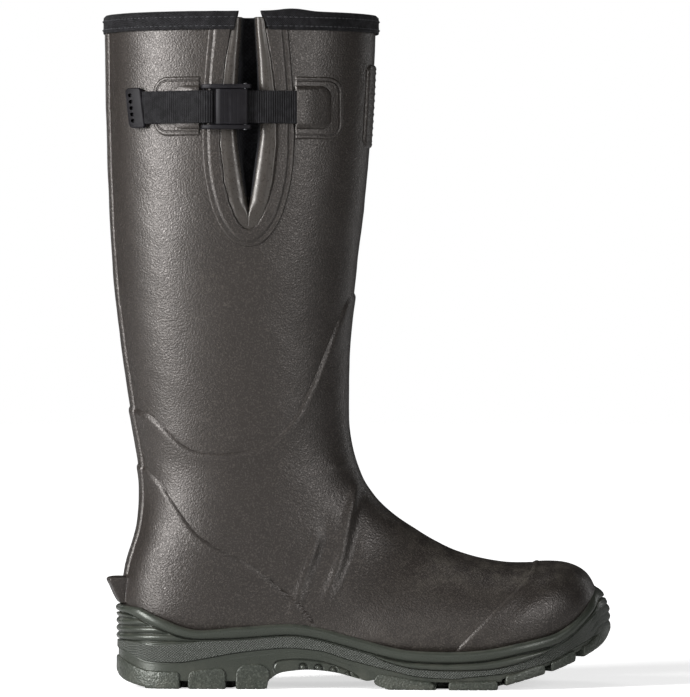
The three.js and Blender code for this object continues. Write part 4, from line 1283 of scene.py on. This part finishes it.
class BOOT_OT_patches(bpy.types.Operator):
    """Make the two patches that hold the strap, with their raised mouths"""

    bl_idname = "boot.patches"
    bl_label = "Strap Patches"

    def execute(self, context):
        self.patch("front_patch", (-38.0, -9.0), (336.8, 374.8), -38.0, -1, 21.5, 3.3)
        self.patch("rear_patch", (-124.8, -96.2), (338.8, 374.8), -96.2, 1, 17.0, 2.3)
        return {"FINISHED"}

    def patch(self, node, across, up, mouth, way, reach, swell):
        """way is the side that the strap leaves on, and swell the height of the mouth's hood."""
        reaches = (across[0], across[1] + 12) if way > 0 else (across[0] - 12, across[1])
        centre = (sum(reaches) / 2, sum(up) / 2)
        half = ((reaches[1] - reaches[0]) / 2, (up[1] - up[0]) / 2)
        columns, rows = np.linspace(across[0] - 1, across[1] + 1, 110), np.linspace(up[0] - 1, up[1] + 1, 130)
        x, z = np.meshgrid(columns, rows)
        outline = rounded_inside(x, z, centre, half, 9.0)
        inside = np.minimum(outline, way * (mouth - x))
        plate = -0.3 + 1.2 * smoothstep(-0.5, 0.8, inside) + 0.15 * smoothstep(2.6, 3.4, outline)
        plate -= 0.35 * hump(outline, 2.4, 0.4)
        top, low = shaft_points(x, z, plate), shaft_points(x, z, np.full(x.shape, -0.9))
        parts = [grid_shell(top, low, inside > -0.7), self.hood(mouth, way, reach, swell)]
        points, faces = join_parts([(part, quads.tolist()) for part, quads in parts])
        piece(node + "_skin", points, faces, "pebbled_rubber", [node])

    def hood(self, mouth, way, reach, swell):
        """The soft bulge over the strap's end, standing full height where the strap runs out."""
        along, z = np.meshgrid(np.linspace(0, reach, 90), STRAP_Z + np.linspace(-13.4, 13.4, 90))
        x = mouth - way * along
        centre = (mouth - way * (reach - 20) / 2, STRAP_Z)
        inside = rounded_inside(x, z, centre, ((reach + 20) / 2, 13.4), 7.0)
        arch = rounded(inside, 4.2)
        fall = 1 - 0.7 * smoothstep(0.1 * reach, reach, along)
        height = 0.9 + swell * fall * arch
        return grid_shell(shaft_points(x, z, height), shaft_points(x, z, np.maximum(height - 0.9, 0.1)))


# ------------------------------------------------------------------ strap and buckle

def ribbed_band(path, thick, half):
    """Points and faces of a woven band on edge along a path [x, y], ribbed across its length."""
    settings = sizes()
    length = float(np.sum(np.linalg.norm(np.diff(np.asarray(path, float), axis=0), axis=1)))
    line = smooth_line(path, int(length / 0.2) + 4)
    along = np.concatenate([[0], np.cumsum(np.linalg.norm(np.diff(line, axis=0), axis=1))])
    ahead = np.gradient(line, axis=0)
    ahead /= np.linalg.norm(ahead, axis=1, keepdims=True)
    away = np.stack([ahead[:, 1], -ahead[:, 0]], axis=1)
    spans = ((-1, -0.9, 6), (-0.87, 0.87, 46), (0.9, 1, 6))
    across = np.concatenate([np.linspace(*span) for span in spans])
    edge = np.sqrt(np.clip(1 - np.abs(across) ** 24, 0.02, 1))
    phase = math.pi * along[:, None] / settings.rib_pitch
    ribs = settings.rib_height * (2 * np.abs(np.sin(phase)) ** 0.8 - 1)
    yarn = 0.05 * np.cos(across[None, :] * half * 2 * math.pi / 1.25 + phase)
    selvage = 0.12 * hump(np.abs(across[None, :]), 0.95, 0.03)
    thickness = (thick / 2 * edge)[None, :] + (ribs + yarn) * edge[None, :] + selvage
    faces = []
    for side in (1, -1):
        x = line[:, 0, None] + side * away[:, 0, None] * thickness
        y = line[:, 1, None] + side * away[:, 1, None] * thickness
        z = STRAP_Z + np.broadcast_to(across * half, x.shape)
        faces.append(np.stack([x, y, z], axis=2))
    return grid_shell(*faces)


def risen(points):
    """Strap path points [x, y] from [x, rise above the shaft's face]."""
    table = np.array(points, float)
    return shaft_points(table[:, 0], np.full(len(table), STRAP_Z), table[:, 1])[:, :2].tolist()


class BOOT_OT_strap(bpy.types.Operator):
    """Make the strap's webbing on both sides of the buckle, its loop and its end cap"""

    bl_idname = "boot.strap"
    bl_label = "Strap"

    def execute(self, context):
        webbing = "ribbed_webbing"
        front = risen([(-34.5, 2.75), (-37, 2.8), (-46, 3), (-56, 4), (-64, 4.8)])
        front += [(PIN[0] - 2, STRAP_IN_BUCKLE_Y), (TAIL_START + 1.1, STRAP_IN_BUCKLE_Y)]
        piece("strap_webbing", *ribbed_band(front, STRAP_THICK, STRAP_HALF), webbing, ["strap_front"], "webbing")
        tail = [(TAIL_START, STRAP_IN_BUCKLE_Y - 0.4), (-91, -63.7), (-93.5, -63.8)]
        tail += risen([(-96, 7.4), (-101, 5.6), (-106, 4.4), (-116, 3.6), (-124, 3.2), (-131.4, 3.1)])
        band = ribbed_band(tail, STRAP_THICK, STRAP_HALF)
        piece("strap_tail_webbing", *band, webbing, ["strap_tail"], "webbing", "tail")
        loop = [(BAR[0] + 1.9, BAR[1] - 0.4), (BAR[0] + 1.2, BAR[1] - 1.5), (BAR[0], BAR[1] - 1.9)]
        loop += [(BAR[0] - 1.5, BAR[1] - 1.3), (-97, -59.9)] + risen([(-100, 2.0), (-104, 1.8)])
        piece("buckle_loop_webbing", *ribbed_band(loop, 1.1, 9.6), webbing, ["buckle_loop"], "webbing")
        self.end_cap()
        return {"FINISHED"}

    def end_cap(self):
        """A moulded tip with five holes, bent to the shaft."""
        low_x, high_x, half, corner = -138.5, -129.4, 12.3, 2.6
        outline = []
        for x, z, start in ((high_x, half, 0), (low_x, half, 1), (low_x, -half, 2), (high_x, -half, 3)):
            round_off = corner if x == low_x else 1.8
            middle_x = x - math.copysign(round_off, x - (low_x + high_x) / 2)
            middle_z = z - math.copysign(round_off, z)
            for t in np.linspace(0, 1, 7):
                angle = (start + t) * math.pi / 2
                outline.append((middle_x + round_off * math.cos(angle), middle_z + round_off * math.sin(angle)))
        cutters = [round_solid((-135.6, z), 1.25, 1.4, 6.0) for z in (-7.8, -3.9, 0, 3.9, 7.8)]
        points, faces = slab(outline, 0, 3.3, 0.7, cutters=cutters)
        lean = -0.11 * points[:, 1]
        bent = shaft_points(points[:, 0] + lean, STRAP_Z + points[:, 1], 1.4 + points[:, 2])
        crisp(piece("strap_tip", bent, faces, "moulded_plastic", ["strap_end_cap"], "plastic", "tail"))


def crisp(made, angle=32):
    """Keeps sharp edges sharp on a smooth-shaded piece."""
    made.data.set_sharp_from_angle(angle=math.radians(angle))


def upright_part(outline, low, high, bevel, cutters=()):
    """Points and faces of an outline [x, y] between two heights about the strap's middle."""
    return slab(outline, STRAP_Z + low, STRAP_Z + high, bevel, cutters)


class BOOT_OT_buckle(bpy.types.Operator):
    """Make the buckle's frame, its cam lever and the lever's pin"""

    bl_idname = "boot.buckle"
    bl_label = "Buckle"

    def execute(self, context):
        plastic = "moulded_plastic"
        cheek = [
            (-65.6, -60.3), (-64.9, -61.6), (-64.9, -65.6), (-65.5, -66.6), (-67, -67.1), (-76, -67.1),
            (-86, -67.0), (-90, -66.1), (-93.8, -64.8), (-95.2, -63.6), (-95.5, -61.5), (-94.8, -59.6),
            (-92.5, -59.2), (-90, -60.0),
        ]
        hole = round_solid(PIN, 1.2, STRAP_Z - 20, STRAP_Z + 20)
        spans = ((11.05, 13.7), (-13.7, -11.05))
        parts = [upright_part(cheek, low, high, 0.45, [hole]) for low, high in spans]
        bed = [(-69.4, -60.2), (-69.6, -61.2), (-89.4, -61.3), (-89.7, -60.2)]
        parts.append(upright_part(bed, -12, 12, 0.2))
        parts.append(round_solid(BAR, 1.0, STRAP_Z - 12, STRAP_Z + 12))
        crisp(piece("buckle_body", *join_parts(parts), plastic, ["buckle_frame"], "plastic"))
        self.lever(plastic)
        profile = [(0.9, 0), (0.9, 13.75), (1.25, 13.85), (1.25, 14.15), (0.95, 14.4), (0.3, 14.5)]
        turn = np.linspace(0, 2 * math.pi, 24, endpoint=False)
        halves = []
        for side in (1, -1):
            rings = []
            for radius, reach in profile:
                x, y = PIN[0] + radius * np.cos(turn), PIN[1] + radius * np.sin(turn)
                rings.append(np.column_stack([x, y, np.full(24, STRAP_Z + side * reach)]))
            halves.append(ring_loft(rings))
        crisp(piece("hinge_pin", *join_parts(halves), "dark_steel", ["lever_pin"], "steel"))
        return {"FINISHED"}

    def lever(self, plastic):
        """A curved plate with shallow upright grooves, thick at its hub."""
        tip = PIN[0] - 18.2
        face = [(PIN[0] + 1.5, PIN[1] - 0.5), (PIN[0] + 0.9, PIN[1] - 1.3), (PIN[0] - 0.4, PIN[1] - 1.6)]
        for x in np.arange(PIN[0] - 2.4, tip + 2.6, -0.3):
            bow = -1.75 - 0.2 * math.sin((PIN[0] - x) / 18 * math.pi)
            groove = 0.08 * max(0.0, math.cos((x - PIN[0]) * 2 * math.pi / 2.6)) ** 6
            face.append((float(x), PIN[1] + bow + groove))
        ends = [(1.6, -1.5), (0.5, -0.9), (0, -0.1), (0.3, 0.5), (2, 0.6)]
        face += [(tip + x, PIN[1] + y) for x, y in ends]
        face += [(PIN[0] + x, PIN[1] + y) for x, y in ((-4, 0.9), (-1, 1.5), (0.6, 1.45))]
        hole = round_solid(PIN, 1.15, STRAP_Z - 20, STRAP_Z + 20)
        plate = upright_part(face, -10.7, 10.7, 0.35, [hole])
        crisp(piece("cam_lever_plate", *plate, plastic, ["cam_lever"], "plastic", "lever"), 24)


# ------------------------------------------------------------------ the sole

def sole_plan(columns):
    """Evenly spaced points round the sole's edge and their outward directions in plan."""
    half = columns // 2
    outer, inner = smooth_line(SOLE_OUTER, half + 1), smooth_line(SOLE_INNER, half + 1)
    loop = np.concatenate([outer[:-1], inner[::-1][:-1]])
    for _ in range(30):
        loop = 0.5 * loop + 0.25 * (np.roll(loop, 1, axis=0) + np.roll(loop, -1, axis=0))
    ahead = np.roll(loop, -1, axis=0) - np.roll(loop, 1, axis=0)
    ahead /= np.linalg.norm(ahead, axis=1, keepdims=True)
    return loop, np.stack([ahead[:, 1], -ahead[:, 0]], axis=1)


def sole_edges(x, count=300):
    """The y of the sole's outer and inner edges at x."""
    lines = smooth_line(SOLE_OUTER, count), smooth_line(SOLE_INNER, count)
    return [np.interp(x, line[:, 0], line[:, 1]) for line in lines]


def groove_floor(x):
    """The height of the tread's ground between its lugs. The arch has none."""
    lugged = 1 - smoothstep(-62, -52, x) * (1 - smoothstep(4, 16, x))
    return ground_height(x) + GROOVE_DEPTH * lugged


class BOOT_OT_sidewall(bpy.types.Operator):
    """Make the sole's side wall with its bead, ridges, textured band and arch panel"""

    bl_idname = "boot.sidewall"
    bl_label = "Sole Side Wall"

    def execute(self, context):
        loop, away = sole_plan(2 * sizes().sole_columns)
        x, side = loop[:, 0], loop[:, 1] < 8
        groove, top, low = (height_at(line, x) for line in (BEAD_GROOVE, BAND_TOP, BAND_LOW))
        rim = np.minimum(height_at(RIM_LINE, x) - 0.4, groove + 6.9)
        floor = np.minimum(groove_floor(x), low - 2.2)
        rows, outs, marks = [], [], []

        def add(z, out, mark=0):
            lean = 8.5 * np.clip((z - 42) / 18.6, 0, 1) ** 2.6 * smoothstep(118, 130, x)
            rows.append(z + 0 * x)
            outs.append(np.maximum(out - lean, -12.5))
            marks.append(mark)

        for inset, drop in ((-9, 3.4), (-7, 2.8), (-5, 2.2), (-3.6, 1.6)):
            add(rim - drop, inset)
        middle, half = (rim + groove) / 2, (rim - groove) / 2
        for angle in np.linspace(0.62, -0.5, 18) * math.pi:
            add(middle + half * math.sin(angle), -1.1 + 2.3 * math.cos(angle))
        add(groove - 0.15, -1.5)
        add(groove - 0.5, -1.5)
        add(groove - 0.75, -0.2)
        ridge_rows = 56
        for k in range(ridge_rows + 1):
            z = groove - 0.9 + (top - groove + 0.9) * k / ridge_rows
            add(z, self.ridges(x, z, groove, top))
        band_rows = 26
        for k in range(1, band_rows + 1):
            z = top + (low - top) * k / band_rows
            add(z, 0.25 - 0.5 * smoothstep(top - 0.5, top, z) + self.toe_grooves(x, z, groove), 1)
        add(low - 0.12, -1.0)
        add(low - 0.45, -1.0)
        wall_rows = 44
        for k in range(1, wall_rows + 1):
            z = low - 0.6 + (floor - low + 0.6) * k / wall_rows
            add(z, self.lower_wall(x, z, side, low, floor))
        add(floor - 0.1, -1.6)
        add(floor, -3)
        add(floor, -9)
        add(floor + 1.5, -9.5)
        z, out = np.array(rows), np.array(outs)
        points = np.stack([loop[:, 0] + away[:, 0] * out, loop[:, 1] + away[:, 1] * out, z], axis=2)
        count, columns = z.shape
        quads = grid_quads(count, columns, wrap=True)
        last = np.arange(columns)
        after = (last + 1) % columns
        closing = np.stack([(count - 1) * columns + last, last, after, (count - 1) * columns + after], axis=1)
        made = piece(
            "sole_wall", points, np.concatenate([quads, closing]), "smooth_sole_rubber", ["sidewall"],
            "sole_rubber",
        )
        made.data.materials.append(material_named("knurled_sole_rubber"))
        band = np.repeat(np.array(marks[:-1]), columns)
        material = np.concatenate([band, np.zeros(columns, int)])
        made.data.polygons.foreach_set("material_index", material)
        return {"FINISHED"}

    def ridges(self, x, z, groove, top):
        """The heel's level ridges and the forefoot's second bead."""
        first, pitch = HEEL_RIDGES
        wave = np.abs(np.cos(math.pi * (z - first) / pitch)) ** 0.75
        heel = (1.7 * wave - 1.0) * (1 - smoothstep(-108, -92, x))
        share = np.clip((groove - 0.7 - z) / np.maximum(groove - 0.7 - top, 0.5), 0, 1)
        bead = np.sqrt(np.clip(1 - (2 * share - 1) ** 2, 0, 1))
        fore = (1.5 * bead - 0.3) * smoothstep(6, 22, x) * (1 - smoothstep(112, 122, x))
        edge = -0.7 * hump(z, top, 0.5)
        return 0.1 + heel + fore + edge

    def toe_grooves(self, x, z, groove):
        """Fine grooves across the toe that run beside the bead."""
        total = 0
        for drop in (4.6, 9.6, 14.8):
            total = total - 0.5 * hump(groove - z, drop, 0.6)
        swell = 0.25 * np.sin((groove - z) * 2 * math.pi / 5.0 - 1.2)
        return (total + swell) * smoothstep(140, 147, x)

    def lower_wall(self, x, z, side, low, floor):
        """The smooth recess under the band, with a fine step and the arch's panel and studs."""
        deep = smoothstep(low - 0.6, low - 1.6, z)
        out = -0.35 - 0.25 * deep
        waist = smoothstep(-86, -70, x) * (1 - smoothstep(4, 14, x))
        step = 0.22 * smoothstep(0.25, -0.25, z - (low - 3.4)) * waist
        panel, _ = distance_to(smooth_line(ARCH_PANEL, 60), x, z)
        line = -1.1 * hump(panel, 0, 0.5) * smoothstep(-54, -50, x) * (1 - smoothstep(0, 3, x))
        sunk = -0.25 * smoothstep(0, 0.8, -panel) * smoothstep(-52, -48, x) * (1 - smoothstep(-6, 2, x))
        studs = 0
        for stud_x, stud_z, radius in STUDS:
            r = np.hypot(x - stud_x, z - stud_z)
            dome = 1.3 * np.sqrt(np.clip(1 - (r / radius) ** 2, 0, 1))
            studs = studs + dome - hump(r, radius + 0.4, 0.5)
        return out + step + (line + sunk + studs) * side - 0.3 * smoothstep(floor + 1.5, floor, z)


class BOOT_OT_tread(bpy.types.Operator):
    """Make the outsole's ground and its lugs"""

    bl_idname = "boot.tread"
    bl_label = "Tread"

    def execute(self, context):
        rough = "rough_sole_rubber"
        piece("tread_ground", *self.ground(), "smooth_sole_rubber", ["outsole"], "sole_rubber")
        side = [self.side_lug(lug, inner) for inner in (False, True) for lug in SIDE_LUGS[:-1]]
        side.append(self.side_lug(SIDE_LUGS[-1], False, whole=True))
        piece("tread_side_lugs", *join_parts(side), rough, slot="sole_rubber")
        crisp(piece("tread_middle_lugs", *join_parts(self.middle_lugs()), rough, slot="sole_rubber"), 40)
        return {"FINISHED"}

    def ground(self):
        """The plate under the foot, lofted from the sole's edge to its middle line."""
        loop, away = sole_plan(360)
        edge = loop - away * 2.5
        spine_x = np.clip(edge[:, 0], -118, 122)
        spine_y = sum(sole_edges(spine_x)) / 2
        share = np.linspace(0, 1, 16)[:, None]
        x = edge[:, 0] * (1 - share) + spine_x * share
        y = edge[:, 1] * (1 - share) + spine_y * share
        low = groove_floor(x) - 0.05
        return grid_shell(np.stack([x, y, low], axis=2), np.stack([x, y, low + 2.5], axis=2), wrap=True)

    def side_lug(self, lug, inner, whole=False):
        """One lug on the edge: a pad on the side wall that turns under the sole."""
        first, first_top, last, last_top, corner = lug
        loop, away = sole_plan(1500)
        on_side = loop[:, 1] > 8.5 if inner else loop[:, 1] <= 8.5
        if whole:
            on_side = np.ones(len(loop), bool)
        picked = np.where(on_side & (loop[:, 0] > first) & (loop[:, 0] < last))[0]
        gap = np.where(np.diff(picked) > 1)[0]
        if len(gap):
            picked = np.concatenate([picked[gap[0] + 1:], picked[:gap[0] + 1]])
        heel = first < -150
        if heel and inner:
            picked = picked[:-1]
        x = loop[picked, 0]
        step = np.linalg.norm(np.diff(loop[picked], axis=0), axis=1)
        run = np.concatenate([[0], np.cumsum(step)])
        if heel:
            from_end = run[-1] - run if x[-1] > x[0] else run
            top = np.interp(x, *zip(*HEEL_LUG_TOP))
        else:
            from_end = np.minimum(run, run[-1] - run)
            top = first_top + (last_top - first_top) * smoothstep(first, last, x)
        round_top = corner * (1 - rounded(from_end, corner))
        round_low = 1.3 * (1 - rounded(from_end, 1.3))
        ground = ground_height(x)
        notch = np.clip(np.cos(run * 2 * math.pi / 6.1), 0.86, 1) - 0.86
        low = ground + 0.6 * round_low + 3.2 * notch * (from_end > 2)
        top = np.maximum(top - round_top, low + 1.5)
        deep = LUG_REACH
        back = groove_floor(x) + 1.2
        section = [
            (top - 0.3, -2.2), (top, -0.7), (top - 0.15, -0.1), (top - 0.6, 0.45), (top - 1.3, 0.62),
            (top * 0.66 + low * 0.34, 0.66), (top * 0.33 + low * 0.67, 0.7), (low + 1.4, 0.66),
            (low + 0.6, 0.45), (low + 0.12, -0.1), (low, -0.8), (low, -deep / 2), (low, -deep + 1.2),
            (low + 0.35, -deep + 0.3), (low + 1.2, -deep), (back, -deep - 0.4), (back, -6), (back, -2.4),
        ]
        rings = []
        for z, out in section:
            pulled = out - round_low * 0.45 if out > -5 else out
            pair = loop[picked] + away[picked] * (pulled + 0 * x)[:, None]
            rings.append(np.column_stack([pair, np.maximum(z, low) + 0 * x]))
        rings = np.array(rings).transpose(1, 0, 2)
        return ring_loft(rings)

    def middle_lugs(self):
        """Blocks between the edges' lugs, in bent rows as the sole's underside has."""
        parts = []
        rows = [(-136, -118), (-113, -96), (-91, -74), (26, 40), (45, 59), (64, 78), (83, 97), (102, 114)]
        for first, last in rows:
            low_y, high_y = sole_edges((first + last) / 2)
            room = high_y - low_y - 34
            count = 2 if room > 30 else 1
            width = (room + 4) / count
            for k in range(count):
                y0 = low_y + 17 + k * width
                y1 = y0 + width - 4
                bend = 3.0 if k == 0 else -3.0
                outline = [(first - bend, y0), (last - bend, y0), (last + bend, y1), (first + bend, y1)]
                points, faces = slab(outline, 0, GROOVE_DEPTH + 1.5, 0.7)
                points[:, 2] += ground_height(points[:, 0])
                parts.append((points, faces))
        return parts


class BOOT_OT_hidden(bpy.types.Operator):
    """Give the parts inside the sole, which stay as they are, their materials"""

    bl_idname = "boot.hidden"
    bl_label = "Inner Parts"

    def execute(self, context):
        finishes = {"midsole": "pressed_foam", "shank": "dark_steel", "lasting_board": "pressed_board"}
        for node, material in finishes.items():
            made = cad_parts[node]
            made.data.materials.clear()
            made.data.materials.append(material_named(material))
        return {"FINISHED"}


# ------------------------------------------------------------------ panel and running

class BOOT_PT_panel(bpy.types.Panel):
    """The boot's settings and its pieces"""

    bl_label = "Rubber Boot"
    bl_idname = "BOOT_PT_panel"
    bl_space_type = "VIEW_3D"
    bl_region_type = "UI"
    bl_category = "Boot"

    def draw(self, context):
        column = self.layout.column()
        for settings in (context.scene.boot_sizes, context.scene.boot_colours):
            for name in settings.bl_rna.properties.keys():
                if name not in ("rna_type", "name"):
                    column.prop(settings, name)
        for operator in OPERATORS:
            column.operator(operator.bl_idname)


OPERATORS = [
    BOOT_OT_stage, BOOT_OT_materials, BOOT_OT_upper, BOOT_OT_back, BOOT_OT_badge, BOOT_OT_lining,
    BOOT_OT_collar, BOOT_OT_gusset, BOOT_OT_patches, BOOT_OT_strap, BOOT_OT_buckle, BOOT_OT_sidewall,
    BOOT_OT_tread, BOOT_OT_hidden,
]
CLASSES = [BootSizes, BootColours, *OPERATORS, BOOT_PT_panel]


def register():
    for cls in CLASSES:
        bpy.utils.register_class(cls)
    bpy.types.Scene.boot_sizes = PointerProperty(type=BootSizes)
    bpy.types.Scene.boot_colours = PointerProperty(type=BootColours)


def unregister():
    del bpy.types.Scene.boot_colours
    del bpy.types.Scene.boot_sizes
    for cls in reversed(CLASSES):
        bpy.utils.unregister_class(cls)


def main():
    register()
    for operator in OPERATORS:
        group, name = operator.bl_idname.split(".")
        getattr(getattr(bpy.ops, group), name)()


if __name__ == "__main__":
    main()
